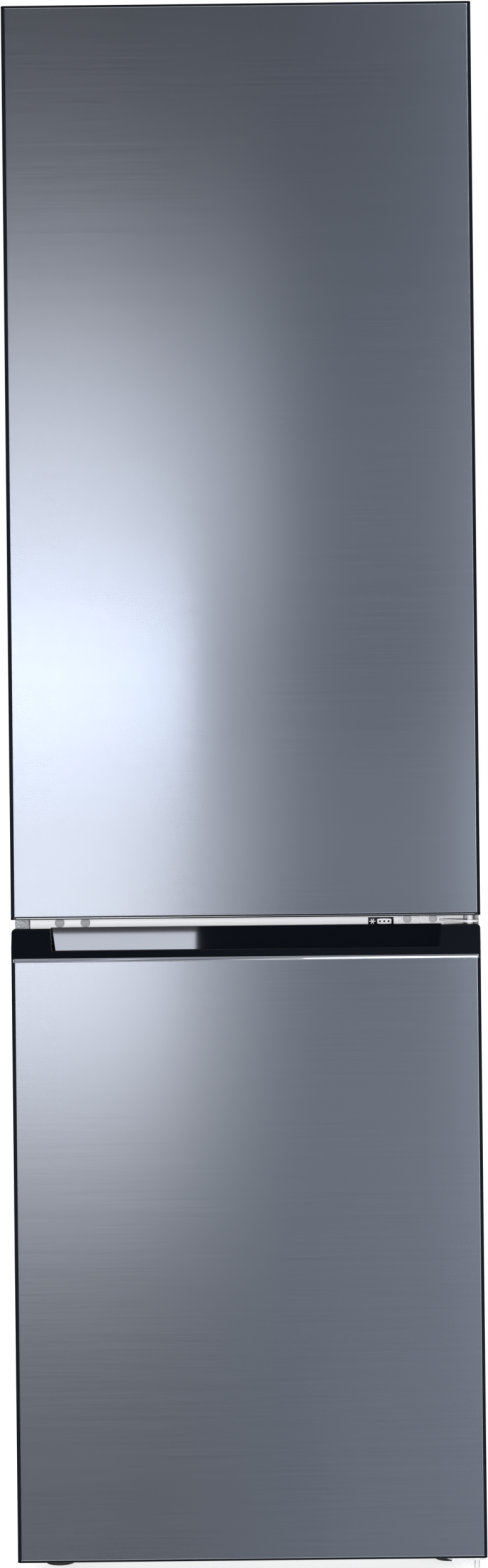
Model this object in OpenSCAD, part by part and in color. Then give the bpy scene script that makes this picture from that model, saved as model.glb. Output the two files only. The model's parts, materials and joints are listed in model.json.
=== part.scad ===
// Tall fridge freezer with a freezer below and a fridge above: two brushed steel
// doors, a recessed grip along the top edge of the lower door, and a bare hinge
// between the doors. Millimetres, +Z up, origin at the middle of the footprint on
// the floor, doors facing -Y and hinged on the right (+X).

/* [Overall] */
// Width over the cabinet sides
overall_w = 595; // [575:1:640]
// Height from the floor to the top of the hinge cover
overall_h = 2000; // [1960:1:2060]
// Depth from the fronts of the doors to the rear spacers
overall_d = 630; // [615:1:680]

/* [Doors] */
// Height of the freezer door
freezer_door_h = 801; // [790:1:830]
// Gap between the two doors
door_gap = 12; // [11:0.5:15]
// Height of the lower door edge above the floor
door_floor_gap = 28; // [26:0.5:31]
// How far the top door edge lies below the hinge cover's top
door_top_drop = 3; // [1:0.5:6]
// Thickness of a door without its gasket
door_t = 52; // [50:0.5:60]
// Thickness of the gasket of a door
gasket_t = 8; // [7:0.5:12]
// Width of the gasket's sealing face
gasket_w = 12; // [9:0.5:12]
// Distance from a door's side edge to its gasket
gasket_inset = 15.5; // [14:0.5:18]
// Running gap between the gasket and the cabinet
gasket_gap = 0.3; // [0.2:0.05:0.6]
// Radius of the fold along a door's front edges
fold_r = 4.5; // [3:0.5:8]
// Width of the steel returns on a door's back
skin_return = 12; // [8:1:18]
// Width of the raised dike on a door liner
dike_w = 22; // [16:1:26]
// Height of the dike above the fridge door's back
fridge_dike_h = 33; // [25:1:34]
// Height of the dike above the freezer door's back
freezer_dike_h = 28; // [20:1:30]
// Gap between a dike and the mouth of its compartment
dike_gap = 12.5; // [12:0.5:16]
// Greatest opening angle of both doors
door_swing = 120; // [95:1:120]

/* [Sheets and walls] */
// Thickness of the steel sheet
steel_t = 0.8; // [0.6:0.1:1.2]
// Thickness of the formed plastic liners
liner_t = 1.5; // [1:0.1:2.5]
// Width of the cabinet's front flange
flange_w = 27; // [24:1:30]
// Hairline joint between the panels of one piece
hairline = 0.1; // [0.05:0.05:0.2]
// Width of that flange beside the rail between the compartments
rail_flange_w = 18.5; // [16:0.5:22]
// Radius of the cabinet's upper corners
shell_r = 3; // [1:0.5:6]
// Side wall of the fridge compartment
fridge_wall = 45; // [40:1:52]
// Back wall of the fridge compartment
fridge_back_wall = 55; // [45:1:65]
// Side wall of the freezer compartment
freezer_wall = 60; // [55:1:70]
// Back wall of the freezer compartment
freezer_back_wall = 65; // [55:1:75]
// Roof over the fridge compartment
roof_wall = 50; // [40:1:60]
// Thickness of the floor between the compartments
mullion_t = 60; // [56:1:70]
// Floor under the freezer compartment
floor_wall = 61; // [58:1:75]
// Height of the cabinet's underside above the floor
cabinet_gap = 34; // [32:0.5:38]
// Radius in the corners of the compartments
cavity_r = 14; // [6:1:20]

/* [Machine compartment] */
// Height of the compressor compartment
comp_h = 216; // [210:1:240]
// Depth of the compressor compartment
comp_d = 193; // [185:1:215]
// Insulation between that compartment and the freezer
step_wall = 50; // [40:1:60]
// Diameter of the compressor shell
pot_d = 138; // [120:1:144]
// Height of the compressor shell
pot_h = 142; // [120:1:146]
// Diameter of the copper pipes
pipe_d = 6; // [5:0.5:8]
// Thickness of the compressor tray
tray_t = 2; // [1.5:0.5:3]

/* [Hinges] */
// Distance from the hinge axis to the cabinet side
hinge_side = 12.5; // [12:0.5:14]
// Distance from the hinge axis to the doors' front
hinge_front = 28; // [28:0.5:30]
// Diameter of the hinge pins
pin_d = 7.3; // [6:0.1:8]
// Radial running clearance of the pins in their bushes
pin_fit = 0.08; // [0.03:0.01:0.1]
// Outer diameter of the bushes
bush_d = 12; // [11:0.5:13]
// How far each pin reaches into its door
pin_reach = 13; // [9:0.5:14]
// Thickness of the hinge plates
plate_t = 2.8; // [2:0.1:3]
// Space between the middle hinge's leaf and the freezer door
leaf_gap = 1.8; // [1:0.1:3]
// Space between the bottom hinge's leaf and the freezer door
low_leaf_gap = 4; // [2:0.5:5]
// Half width of the top hinge's arm
arm_half = 9; // [7:0.5:9]
// Height of the hinge cover above the cabinet top
hinge_cover_h = 15; // [14:0.5:18]
// Wall of the hinge cover
hinge_cover_t = 1.5; // [1:0.1:1.5]
// Distance between the screws of a hinge
screw_pitch = 33; // [28:1:36]
// Diameter of a hinge screw's shank
screw_d = 5; // [4:0.5:6]

/* [Grips and caps] */
// Height of the freezer door's grip cap above the steel
grip_cap_h = 41.5; // [38:0.5:48]
// Height of the bright trim under the grip cap
grip_trim_h = 4.2; // [3:0.2:6]
// Thickness of that trim
grip_trim_t = 2; // [1.5:0.1:3]
// Height of the lip in front of the grip
grip_lip_h = 9.3; // [7:0.1:12]
// Thickness of that lip
grip_lip_t = 5; // [3:0.5:7]
// How far the cap's face leans back
grip_lean = 12; // [8:0.5:14]
// Width of the grip at its upper edge
grip_w = 496.6; // [440:1:520]
// How far each end of the grip slants inwards
grip_slant = 3; // [0:0.5:8]
// Depth of the finger pocket under the lip's upper edge
grip_pocket = 31; // [20:1:40]
// Distance from the doors' front to the grip's rear wall
grip_reach = 30; // [26:0.5:34]
// Radius of the grip cap's upper corners
grip_corner_r = 5; // [2:0.5:8]
// Height of the fridge door's top cap above the steel
top_cap_h = 2.8; // [2:0.1:4]
// Height of the fridge door's bottom cap below the steel
under_cap_h = 3.6; // [2.5:0.1:5]
// Height of the freezer door's bottom cap below the steel
base_cap_h = 2.4; // [1.8:0.1:4]
// Depth of the caps inside the doors
cap_depth = 26; // [24:0.5:30]
// Wall of the moulded caps
cap_wall = 3; // [2:0.1:3.5]
// Width of the grip under the fridge door
under_grip_w = 480; // [400:1:500]
// Depth of the grip under the fridge door
under_grip_h = 22; // [16:0.5:22]

/* [Fridge compartment] */
// Heights of the glass shelves above the compartment floor
shelf_levels = [198, 376, 556, 736];
// Thickness of a glass shelf
glass_t = 4; // [3:0.5:5]
// Distance from the cabinet front to the front of a shelf
shelf_set_back = 145; // [142:1:160]
// Height of the plastic trim along a shelf
shelf_trim_h = 14; // [10:1:20]
// Depth of that trim
shelf_trim_d = 12; // [8:1:20]
// Width of the ribs that carry the shelves
shelf_rib_w = 7; // [6:0.5:8]
// Side clearance of a shelf
shelf_fit = 2.5; // [1:0.5:3]
// Height of a crisper
crisper_h = 180; // [150:1:182]
// Wall of the crispers
crisper_wall = 2.5; // [2:0.1:3]
// Gap between the crispers and beside them
crisper_gap = 4; // [3:0.5:8]
// Height of the slide ribs under the crispers
slide_rib_h = 2; // [1:0.5:3]
// Width of the control panel
panel_w = 260; // [200:1:300]
// Depth of the control panel
panel_d = 112; // [95:1:120]
// Height of the control panel
panel_h = 22; // [18:1:26]
// Diameter of a push button
button_d = 16; // [10:0.5:20]
// Travel of a push button
button_travel = 1.2; // [0.8:0.1:1.5]
// Width of the air duct on the rear wall
duct_w = 180; // [140:1:220]
// Thickness of the air duct
duct_t = 10; // [8:1:16]

/* [Door bins] */
// Heights of the door bins above the fridge compartment's floor
bin_levels = [222, 470, 760];
// Heights of the bins' outer walls
bin_heights = [110, 85, 70];
// Wall of a bin
bin_wall = 2.5; // [2:0.1:3]
// How far the bins reach behind the door
bin_reach = 133; // [110:1:134]
// Corner radius of a bin
bin_r = 12; // [6:1:20]
// Side clearance of a bin between the dikes
bin_fit = 0.3; // [0.3:0.1:1]
// Height of the lugs that carry a bin
bin_lug_h = 10; // [8:1:16]

/* [Freezer compartment] */
// Heights of the drawers' floors above the freezer compartment's floor
drawer_levels = [14, 222, 464];
// Heights of the drawers' fronts
drawer_heights = [196, 228, 216];
// Wall of the drawers
drawer_wall = 2.5; // [2:0.1:3.5]
// Distance from the cabinet front to the drawers
drawer_set_back = 40; // [38:1:60]
// Width of the runners on the freezer liner
runner_w = 8; // [6:0.5:10]
// Height of the runners
runner_h = 10; // [6:1:14]
// Side clearance of a drawer beside its runners
drawer_fit = 2; // [1:0.5:4]
// Running gap between a drawer and what it slides on
slide_gap = 0.3; // [0.2:0.05:0.5]
// Space behind the evaporator cover
evap_space = 66; // [60:1:76]
// Thickness of the evaporator cover
evap_cover_t = 3; // [2:0.5:4]
// Number of fins on the evaporator
fin_count = 17; // [9:2:25]
// Diameter of the fan rotor
fan_d = 108; // [90:1:116]
// Number of fan blades
blade_count = 7; // [5:1:9]
// Depth of the fan rotor
rotor_h = 20; // [16:1:22]
// Height of the fan axis above the freezer compartment's floor
fan_level = 600; // [560:1:630]

/* [Feet and rollers] */
// Diameter of a front foot
foot_d = 38; // [30:1:44]
// Height of a front foot's pad
foot_h = 10; // [8:0.5:12]
// Diameter of a foot's threaded stem
stem_d = 10; // [8:0.5:12]
// Radial running clearance of the stem
stem_fit = 0.08; // [0.03:0.01:0.1]
// Distance from a foot's axis to the cabinet side
foot_side = 45.5; // [40:0.5:60]
// Distance from the doors' front to the feet
foot_front = 116; // [110:1:140]
// Thickness of the brackets that hold the feet
foot_bracket_h = 12; // [10:0.5:14]
// Diameter of a rear roller
roller_d = 30; // [24:1:31]
// Width of a rear roller
roller_w = 18; // [14:1:24]
// Diameter of the roller axles
axle_d = 6; // [5:0.5:8]
// Thickness of the rear spacers
spacer_t = 12; // [10:1:20]

/* [Hidden] */
$fn = 48;
eps = 0.01;
over = 1;
seat = 0.05;
half_w = overall_w / 2;
door_front = -overall_d / 2;
door_back = door_front + door_t;
skin_back = door_back - liner_t;
dike_root = liner_t + steel_t / 2;
cab_front = door_back + gasket_t;
cab_rear = overall_d / 2 - spacer_t;
cab_top = overall_h - hinge_cover_h;
cab_low = cabinet_gap;
face_y = cab_front + liner_t;
low_z0 = door_floor_gap;
low_z1 = low_z0 + freezer_door_h;
top_z0 = low_z1 + door_gap;
top_z1 = overall_h - door_top_drop;
mid_z = low_z1 + door_gap / 2;
mullion_z0 = mid_z - mullion_t / 2;
mullion_z1 = mid_z + mullion_t / 2;
rail_lap = 2;
rail_gap = 0.4;
rail_x = half_w - rail_flange_w;
seal_half = mullion_t / 2 - gasket_w - 1.5;
seal_x = half_w - gasket_inset;
sill_h = 50;
sill_z = cab_low + sill_h;

fridge_x = half_w - fridge_wall;
fridge_y = cab_rear - fridge_back_wall;
fridge_z = mullion_z1;
fridge_top = cab_top - roof_wall;
freezer_x = half_w - freezer_wall;
freezer_y = cab_rear - freezer_back_wall;
freezer_z = cab_low + floor_wall;
freezer_top = mullion_z0;
comp_y = cab_rear - comp_d;
comp_top = cab_low + comp_h;
step_y = comp_y - step_wall;
step_z = comp_top + step_wall;

hinge_x = half_w - hinge_side;
hinge_y = door_front + hinge_front;
bush_h = pin_reach + 2;
nose_r = arm_half + hinge_cover_t;
well_y = hinge_y - nose_r - 0.5;
well_x = hinge_x - nose_r - hinge_front;
well_z = cab_top - 1.5;
mid_leaf_z = low_z1 + leaf_gap;
low_leaf_z = low_z0 - low_leaf_gap - plate_t;
mid_plate_x = [half_w - 103.5, half_w - 44.5];
mid_screw_x = [for (i = [0, 1]) half_w - 92 + i * screw_pitch];
low_plate_x = [half_w - 77.5, half_w - 24];
low_screw_x = [for (i = [0, 1]) half_w - 70 + i * screw_pitch];
low_plate_h = 41;
low_screw_z = cab_low + low_plate_h / 2 - 4;
low_flange_h = 6;
low_flange_y = hinge_y - 11;
top_screw_x = [half_w - 74, half_w - 36];
top_screw_y = [cab_front + 28, cab_front + 58];
top_arm_l = 62;
screw_depth = 12;
screw_flange = [2.2 * screw_d, 1.2];
screw_hex = [1.75 * screw_d, 2.6];
plug_x = [for (x = mid_screw_x) -x - 1.5];
plug_z = top_z0 - 4.7;
plug_d = 12.2;
plug_t = 2;

steel_z = low_z1 - grip_cap_h;
trim_z = steel_z + grip_trim_h;
lip_z = trim_z + grip_lip_h;
pocket_z = lip_z - grip_pocket;
grip_y = door_front + grip_reach;
grip_top_y = door_front + grip_lean;
grip_floor = pocket_z - cap_wall;
grip_back_h = 6;
grip_edge = 1.5;
pocket_r = 6;
pocket_y = door_front + grip_lip_t + 3;
under_grip_r = 8;
under_grip_y = [door_front + 15, door_back - 9];
cap_step = 3;
cap_hollow = door_t - 2 * steel_t - liner_t - 2 * cap_wall;

fridge_core_z = [top_z0 + cap_depth + cap_step, top_z1 - cap_depth - cap_step];
fridge_dike_z = [fridge_z + dike_gap, fridge_top - dike_gap];
freezer_core_z = [low_z0 + cap_depth, grip_floor];
freezer_dike_z = [freezer_z + dike_gap, min(freezer_top - dike_gap, grip_floor + 30)];
freezer_dike_x = freezer_x - dike_gap;

shelf_front = cab_front + shelf_set_back;
shelf_x = fridge_x - shelf_fit;
shelf_back = fridge_y - duct_t - 3;
crisper_z = fridge_z + slide_rib_h + slide_gap;
crisper_front = shelf_front - 2;
crisper_side = max(crisper_gap, cavity_r - 6);
crisper_w = fridge_x - crisper_side - crisper_gap / 2;
crisper_back = fridge_y - 8;
crisper_rim_z = crisper_z + crisper_h - 17;
crisper_rim_w = 1.5;
pull_d = 6;
pull_h = 11;
pull_inset = 20;
slide_rib_w = 8;
panel_y0 = door_back + fridge_dike_h + 8;
panel_z0 = fridge_top - panel_h;
button_x = 30;
button_y = panel_y0 + 22;
button_h = 7;
button_gap = 0.4;
button_fit = 0.08;
panel_wall = 3;
lens_x = 95;
duct_wall = 5;
duct_slot = [52, 5];
duct_pitch = 13;
duct_z = [for (i = [0:3]) fridge_z + shelf_levels[i] + [60, 70, 70, 90][i]];
glass_edge = 3;
glass_inset = 1;
dike_x = fridge_x - dike_gap;
bin_x = dike_x - dike_w - bin_fit;
bin_front = door_back + bin_fit;
bin_back = door_back + bin_reach;
bin_lug_w = 9;
bin_low_h = 30;

drawer_front = cab_front + drawer_set_back;
drawer_x = freezer_x - runner_w - drawer_fit;
rim_x = freezer_x - drawer_fit;
front_t = 9;
finger_slot = [140, 24];
evap_y = freezer_y - evap_space;
evap_half = 190;
evap_z0 = step_z + 34;
evap_h = 210;
evap_fin_t = 0.8;
evap_tube_d = 8;
grille_slot = 6;
grille_rib = 5;
drawer_back = evap_y - evap_cover_t - 5;
fan_z = freezer_z + fan_level;
fan_y = evap_y + 5;
motor_y = fan_y + rotor_h + 3;
shroud_gap = 3;
shroud_wall = 3;
spider_t = 2;
shaft_d = 3;
shaft_fit = 0.06;
hub_r = 18;

foot_x = half_w - foot_side;
foot_y = door_front + foot_front;
roller_x = half_w - 42;
roller_y = cab_rear - 52;
ear_t = 3;
axle_collar = [axle_d + 3, 1.2];
roller_rim = 4;
roller_web = 3;
roller_fit = 0.08;
tray_z = cab_low;
pot_at = [60, comp_y + comp_d / 2 - 2];
pot_z = tray_z + tray_t + 16;
pot_r = [22, 34];
pot_seam = [0.52 * pot_h, 4, 3];
mount_pitch = [140, 96];
mount_hole = 14;
suction_x = pot_at[0] - pot_d / 2 - 20;
suction_z = pot_z + 0.72 * pot_h;
discharge_x = pot_at[0] - pot_d / 2 - 16;
discharge_y = pot_at[1] + 30;
discharge_z = pot_z + 0.3 * pot_h;
stub_d = pipe_d + 2;
pipe_r = 18;
drier_at = [70 - half_w, comp_y + 60];
drier_z = tray_z + 60;
drier_steps = [18, 30, 110, 122];
capillary_d = 4;
tray_rim = 14;
tray_x = half_w - steel_t - 0.2;
inlet_x = [120 - half_w, 164 - half_w];
inlet_y = [cab_rear - 30, cab_rear - 4];
inlet_h = 52;
inlet_rim = 8;
inlet_mouth = [16, 20];
spacer_at = [half_w - 60, cab_top - 90];
spacer_foot = [22, 3];
spacer_neck = [9, 6];
spacer_tip_r = 7;

// Points along an arc about c, from angle a0 to a1
function arc(c, r, a0, a1, n = 5) =
    [for (i = [0:n]) let (a = a0 + (a1 - a0) * i / n) [c[0] + r * cos(a), c[1] + r * sin(a)]];

// Outline of a rectangle with rounded corners
function round_box(lo, hi, r, n = 5) = concat(
    arc([hi[0] - r, hi[1] - r], r, 0, 90, n),
    arc([lo[0] + r, hi[1] - r], r, 90, 180, n),
    arc([lo[0] + r, lo[1] + r], r, 180, 270, n),
    arc([hi[0] - r, lo[1] + r], r, 270, 360, n));

// Outline of a door seen from above, drawn in by s, with its back at y
function door_outline(s, y) = concat(
    arc([fold_r - half_w, door_front + fold_r], fold_r - s, 180, 270),
    arc([half_w - fold_r, door_front + fold_r], fold_r - s, 270, 360),
    [[half_w - s, y], [s - half_w, y]]);

// Cross-section of a dike drawn in by s: across from its outer edge, out from the door
function dike_profile(w, h, s, r = 5) = concat(
    [[s, -dike_root]],
    arc([r, h - r], r - s, 180, 90),
    arc([w - r, h - r], r - s, 90, 0),
    [[w - s, -dike_root]]);

// Box between two corners
module block(lo, hi) {
    translate(lo) cube(hi - lo);
}

// Box on the right, between two corners, and its mirror image on the left
module block_pair(lo, hi) {
    block(lo, hi);
    mirror([1, 0, 0]) block(lo, hi);
}

// Shape drawn in X and Y, raised from z0 to z1
module rise(z0, z1) {
    translate([0, 0, z0]) linear_extrude(z1 - z0) children();
}

// Shape drawn in Y and Z, drawn out from x0 to x1
module along_x(x0, x1) {
    translate([x0, 0, 0]) rotate([90, 0, 90]) linear_extrude(x1 - x0) children();
}

// Shape drawn in X and Z, drawn out from y0 to y1
module along_y(y0, y1) {
    translate([0, y1, 0]) rotate([90, 0, 0]) linear_extrude(y1 - y0) children();
}

// Rod of diameter d from one point along Y
module rod_y(at, d, l) {
    translate(at) rotate([-90, 0, 0]) cylinder(h = l, d = d);
}

// Rod of diameter d from one point along X
module rod_x(at, d, l) {
    translate(at) rotate([0, 90, 0]) cylinder(h = l, d = d);
}

// Open frame between two rectangles in X and Z, from y0 to y1
module frame(x, z0, z1, w, y0, y1) {
    difference() {
        block([-x, y0, z0], [x, y1, z1]);
        block([w - x, y0 - over, z0 + w], [x - w, y1 + over, z1 - w]);
    }
}

// Open-topped tray between two corners, with upright rounded corners
module tray(lo, hi, wall, r) {
    difference() {
        rise(lo[2], hi[2]) polygon(round_box([lo[0], lo[1]], [hi[0], hi[1]], r));
        rise(lo[2] + wall, hi[2] + over)
            polygon(round_box([lo[0] + wall, lo[1] + wall], [hi[0] - wall, hi[1] - wall], r - wall));
    }
}

// Space of the fridge compartment, grown by g
module fridge_space(g) {
    along_y(cab_front - over, fridge_y + g)
        polygon(round_box([-fridge_x - g, fridge_z - g], [fridge_x + g, fridge_top + g], cavity_r + g));
}

// Space of the freezer compartment over the step of the machine compartment
module freezer_space(g) {
    along_y(cab_front - over, step_y + g)
        polygon(round_box([-freezer_x - g, freezer_z - g], [freezer_x + g, freezer_top + g], cavity_r + g));
    along_y(cab_front - over, freezer_y + g)
        polygon(round_box([-freezer_x - g, step_z - g], [freezer_x + g, freezer_top + g], cavity_r + g));
}

// Holes of the screws that go into the cabinet's front
module front_screw_holes() {
    for (x = mid_screw_x)
        rod_y([x, cab_front - over, plug_z], screw_d + 2 * seat, screw_depth + over + 0.5);
    for (x = low_screw_x)
        rod_y([x, cab_front - over, low_screw_z], screw_d + 2 * seat, screw_depth + over + 0.5);
    for (x = plug_x)
        rod_y([x, cab_front - over, plug_z], screw_d + 2 * seat, screw_depth + over + 0.5);
}

// Outline of the cabinet from the front, drawn in by s and down to z
function shell_outline(s, z) = concat([[half_w - s, z]],
    arc([half_w - shell_r, cab_top - shell_r], shell_r - s, 0, 90, 3),
    arc([shell_r - half_w, cab_top - shell_r], shell_r - s, 90, 180, 3),
    [[s - half_w, z]]);

module cabinet_shell() color("silver") {
    difference() {
        along_y(cab_front, cab_rear) polygon(shell_outline(0, cab_low));
        along_y(cab_front + steel_t, cab_rear + over) polygon(shell_outline(steel_t, cab_low - over));
        along_y(cab_front - over, cab_front + 2 * steel_t)
            translate([flange_w - half_w, cab_low - over])
                square([overall_w - 2 * flange_w, cab_top - cab_low - flange_w + over]);
        block([-rail_x, cab_front - over, mullion_z0 + rail_lap - rail_gap],
            [rail_x, cab_front + 2 * steel_t, mullion_z1 - rail_lap + rail_gap]);
        block([-half_w + steel_t, cab_front - over, cab_low - over],
            [half_w - steel_t, cab_front + 2 * steel_t, sill_z]);
        // hairline joints between the side panels and the top panel
        block([-half_w - over, cab_front - over, cab_top - flange_w - hairline],
            [half_w + over, cab_rear + over, cab_top - flange_w]);
        top_screw_holes();
    }
}

module rear_panel() color("gainsboro") difference() {
    union() {
        along_y(cab_rear - steel_t, cab_rear) polygon(shell_outline(steel_t, comp_top));
        // pressed stiffening beads
        for (x = [-190, -95, 0, 95, 190])
            along_y(cab_rear, cab_rear + 3)
                polygon(round_box([x - 12, comp_top + 160], [x + 12, cab_top - 190], 11.9));
    }
    for (s = [-1, 1])
        rod_y([s * spacer_at[0], cab_rear - 2 * steel_t, spacer_at[1]], 6, 3);
}

module base_plate() color("silver") {
    difference() {
        along_x(steel_t - half_w, half_w - steel_t) polygon([
            [cab_front, sill_z], [cab_front, cab_low], [comp_y + steel_t, cab_low],
            [comp_y + steel_t, comp_top - steel_t], [cab_rear, comp_top - steel_t],
            [cab_rear, comp_top], [comp_y, comp_top], [comp_y, cab_low + steel_t],
            [cab_front + steel_t, cab_low + steel_t], [cab_front + steel_t, sill_z]]);
        for (x = low_screw_x)
            rod_y([x, cab_front - over, low_screw_z], screw_d + 2 * seat, 3);
    }
}

module cabinet_insulation() color("lightyellow") difference() {
    along_y(face_y, cab_rear - steel_t) polygon(shell_outline(steel_t, cab_low + steel_t));
    fridge_space(liner_t);
    freezer_space(liner_t);
    block([-half_w, comp_y, cab_low - over], [half_w, cab_rear + over, comp_top]);
    front_screw_holes();
    top_screw_holes();
}

module fridge_liner() color("white") {
    difference() {
        union() {
            intersection() {
                fridge_space(liner_t);
                block([-half_w, cab_front, fridge_z - 9], [half_w, cab_rear, cab_top]);
            }
            block([flange_w - half_w, cab_front, mullion_z1 - rail_lap],
                [half_w - flange_w, face_y, cab_top - flange_w]);
        }
        fridge_space(0);
    }
    // ribs that carry the shelves, and low ribs under the crispers
    for (z = shelf_levels)
        block_pair([fridge_x - shelf_rib_w, shelf_front + 4, fridge_z + z - 6],
            [fridge_x + liner_t / 2, shelf_back, fridge_z + z]);
    for (x = [0.25, 0.75])
        block_pair([x * fridge_x - slide_rib_w / 2, crisper_front + 6, fridge_z - liner_t / 2],
            [x * fridge_x + slide_rib_w / 2, fridge_y - 10, fridge_z + slide_rib_h]);
}

// Height at which the rim of drawer i slides on its runners
function rim_z(i) = freezer_z + drawer_levels[i] + 70;

// Depth of drawer i: the lowest one stops at the machine compartment's step
function drawer_y1(i) = i == 0 ? step_y - 5 : drawer_back;

module freezer_liner() color("white") {
    difference() {
        union() {
            intersection() {
                freezer_space(liner_t);
                block([-half_w, cab_front, freezer_z - 9], [half_w, cab_rear, freezer_top + 9]);
            }
            block([flange_w - half_w, cab_front, sill_z], [half_w - flange_w, face_y, mullion_z0 + rail_lap]);
        }
        freezer_space(0);
    }
    // runners of the drawers
    for (i = [0, 1, 2])
        block_pair([freezer_x - runner_w, drawer_front + 12, rim_z(i) - runner_h],
            [freezer_x + liner_t / 2, drawer_y1(i), rim_z(i)]);
}

module mullion_rail() color("whitesmoke") difference() {
    block([rail_gap - rail_x, cab_front, mullion_z0 + rail_lap],
        [rail_x - rail_gap, face_y, mullion_z1 - rail_lap]);
    front_screw_holes();
}

// Plugs in the holes of the left-hand hinge: two in the rail and three in the cabinet top
module hinge_hole_caps() color("gray") {
    for (x = plug_x) {
        rod_y([x, cab_front - plug_t, plug_z], plug_d, plug_t);
        rod_y([x, cab_front - eps, plug_z], screw_d, 8);
    }
    for (x = [-1, 0, 1])
        translate([x * 18 - half_w + 50, cab_front + 22 + 10 * x * x, cab_top]) cylinder(h = 1.5, d = 10);
}

// Holes of the screws that go down through the top hinge
module top_screw_holes() {
    for (x = top_screw_x, y = top_screw_y)
        translate([x, y, cab_top - screw_depth - 0.5])
            cylinder(h = screw_depth + plate_t + 2, d = screw_d + 2 * seat);
}

// Flanged hexagon screw whose head sits on the plane y
module front_screw(x, y, z) {
    translate([x, y, z]) rotate([90, 0, 0]) hinge_screw();
}

// Flanged hexagon screw that stands upright, its head's underside at the origin
module hinge_screw() {
    translate([0, 0, -plate_t - screw_depth]) cylinder(h = plate_t + screw_depth, d = screw_d);
    cylinder(h = screw_flange[1], d = screw_flange[0]);
    translate([0, 0, screw_flange[1] - eps]) cylinder(h = screw_hex[1], d = screw_hex[0], $fn = 6);
}

module hinge_screws() color("silver") {
    for (x = mid_screw_x)
        front_screw(x, cab_front - plate_t, plug_z);
    for (x = low_screw_x)
        front_screw(x, cab_front - plate_t, low_screw_z);
    for (x = top_screw_x, y = top_screw_y)
        translate([x, y, cab_top + plate_t]) hinge_screw();
}

// Outline of the top hinge seen from above, grown by g past the arm's half width
module top_hinge_outline(g) {
    w = arm_half + g;
    translate([hinge_x, hinge_y]) circle(w);
    translate([hinge_x, hinge_y]) rotate(door_swing) translate([0, -w]) square([top_arm_l, 2 * w]);
    translate([half_w - 90 - g, cab_front + 14 - g]) square([86 + 2 * g, 58 + 2 * g]);
}

module top_hinge() color("silver") {
    difference() {
        rise(cab_top, cab_top + plate_t) difference() {
            top_hinge_outline(0);
            translate([half_w - 60, cab_front + 43]) square([20, 8], center = true);
        }
        top_screw_holes();
    }
    translate([hinge_x, hinge_y, well_z - pin_reach]) {
        cylinder(h = pin_reach + 1.5 + plate_t, d = pin_d);
        translate([0, 0, pin_reach + 1.5 + plate_t - eps]) cylinder(h = 1.5, d = pin_d + 3);
    }
}

module top_hinge_cover() color("dimgray") difference() {
    rise(cab_top + 0.3, cab_top + hinge_cover_h) top_hinge_outline(hinge_cover_t);
    rise(cab_top, cab_top + hinge_cover_h - hinge_cover_t) top_hinge_outline(seat);
}

module middle_hinge() color("gainsboro") {
    difference() {
        union() {
            // upright plate on the rail, its upper corner cut off beside the leaf
            along_y(cab_front - plate_t, cab_front) polygon([
                [mid_plate_x[0], mid_leaf_z - 9], [mid_plate_x[1], mid_leaf_z - 9],
                [mid_plate_x[1], mid_z - 0.6], [mid_plate_x[1] - 9.7, mid_z + 8],
                [mid_plate_x[1] - 12, seal_half + mid_z - 1.5], [mid_plate_x[0], seal_half + mid_z - 1.5]]);
            // leaf that carries both pins
            rise(mid_leaf_z, mid_leaf_z + plate_t) {
                polygon([[mid_plate_x[1] - 7, cab_front], [half_w - 1.5, cab_front],
                    [half_w - 1.5, hinge_y], [hinge_x - 9, hinge_y - 6],
                    [mid_plate_x[1], cab_front - 20], [mid_plate_x[1] - 7, cab_front - plate_t]]);
                translate([hinge_x, hinge_y]) circle(hinge_side - 1.5);
            }
        }
        for (x = mid_screw_x)
            rod_y([x, cab_front - plate_t - over, plug_z], screw_d + 2 * seat, plate_t + 2 * over);
    }
    translate([hinge_x, hinge_y, low_z1 - pin_reach])
        cylinder(h = 2 * pin_reach + door_gap, d = pin_d);
}

module bottom_hinge() color("gainsboro") {
    difference() {
        union() {
            block([low_plate_x[0], cab_front - plate_t, low_leaf_z],
                [low_plate_x[1], cab_front, cab_low + low_plate_h - 12]);
            rise(low_leaf_z, low_leaf_z + plate_t) {
                polygon([[low_plate_x[0] + 8, cab_front], [half_w - 3, cab_front], [half_w - 1.5, hinge_y],
                    [low_plate_x[1] + 9, low_flange_y], [half_w - 44.5, low_flange_y],
                    [low_plate_x[0] + 8, cab_front - plate_t]]);
                translate([hinge_x, hinge_y]) circle(hinge_side - 1.5);
            }
            // front edge turned down
            block([half_w - 44.5, low_flange_y, low_leaf_z - low_flange_h],
                [hinge_x - 3.5, low_flange_y + plate_t, low_leaf_z + eps]);
        }
        for (x = low_screw_x)
            rod_y([x, cab_front - plate_t - over, low_screw_z], screw_d + 2 * seat, plate_t + 2 * over);
    }
    translate([hinge_x, hinge_y, low_leaf_z - 12])
        cylinder(h = 12 + plate_t + low_leaf_gap + pin_reach, d = pin_d);
}

module foot_brackets() color("dimgray") {
    for (s = [-1, 1])
        difference() {
            rise(cab_low - foot_bracket_h, cab_low) polygon(round_box(
                [s * foot_x - 32, foot_y - 30], [s * foot_x + 32, foot_y + 36], 8));
            translate([s * foot_x, foot_y, cab_low - foot_bracket_h - over])
                cylinder(h = foot_bracket_h + 2 * over, d = stem_d + 2 * stem_fit);
            for (t = [-1, 1])
                translate([s * foot_x + t * 22, foot_y + 22, cab_low - foot_bracket_h - over])
                    cylinder(h = 6, d = 9);
        }
}

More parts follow.
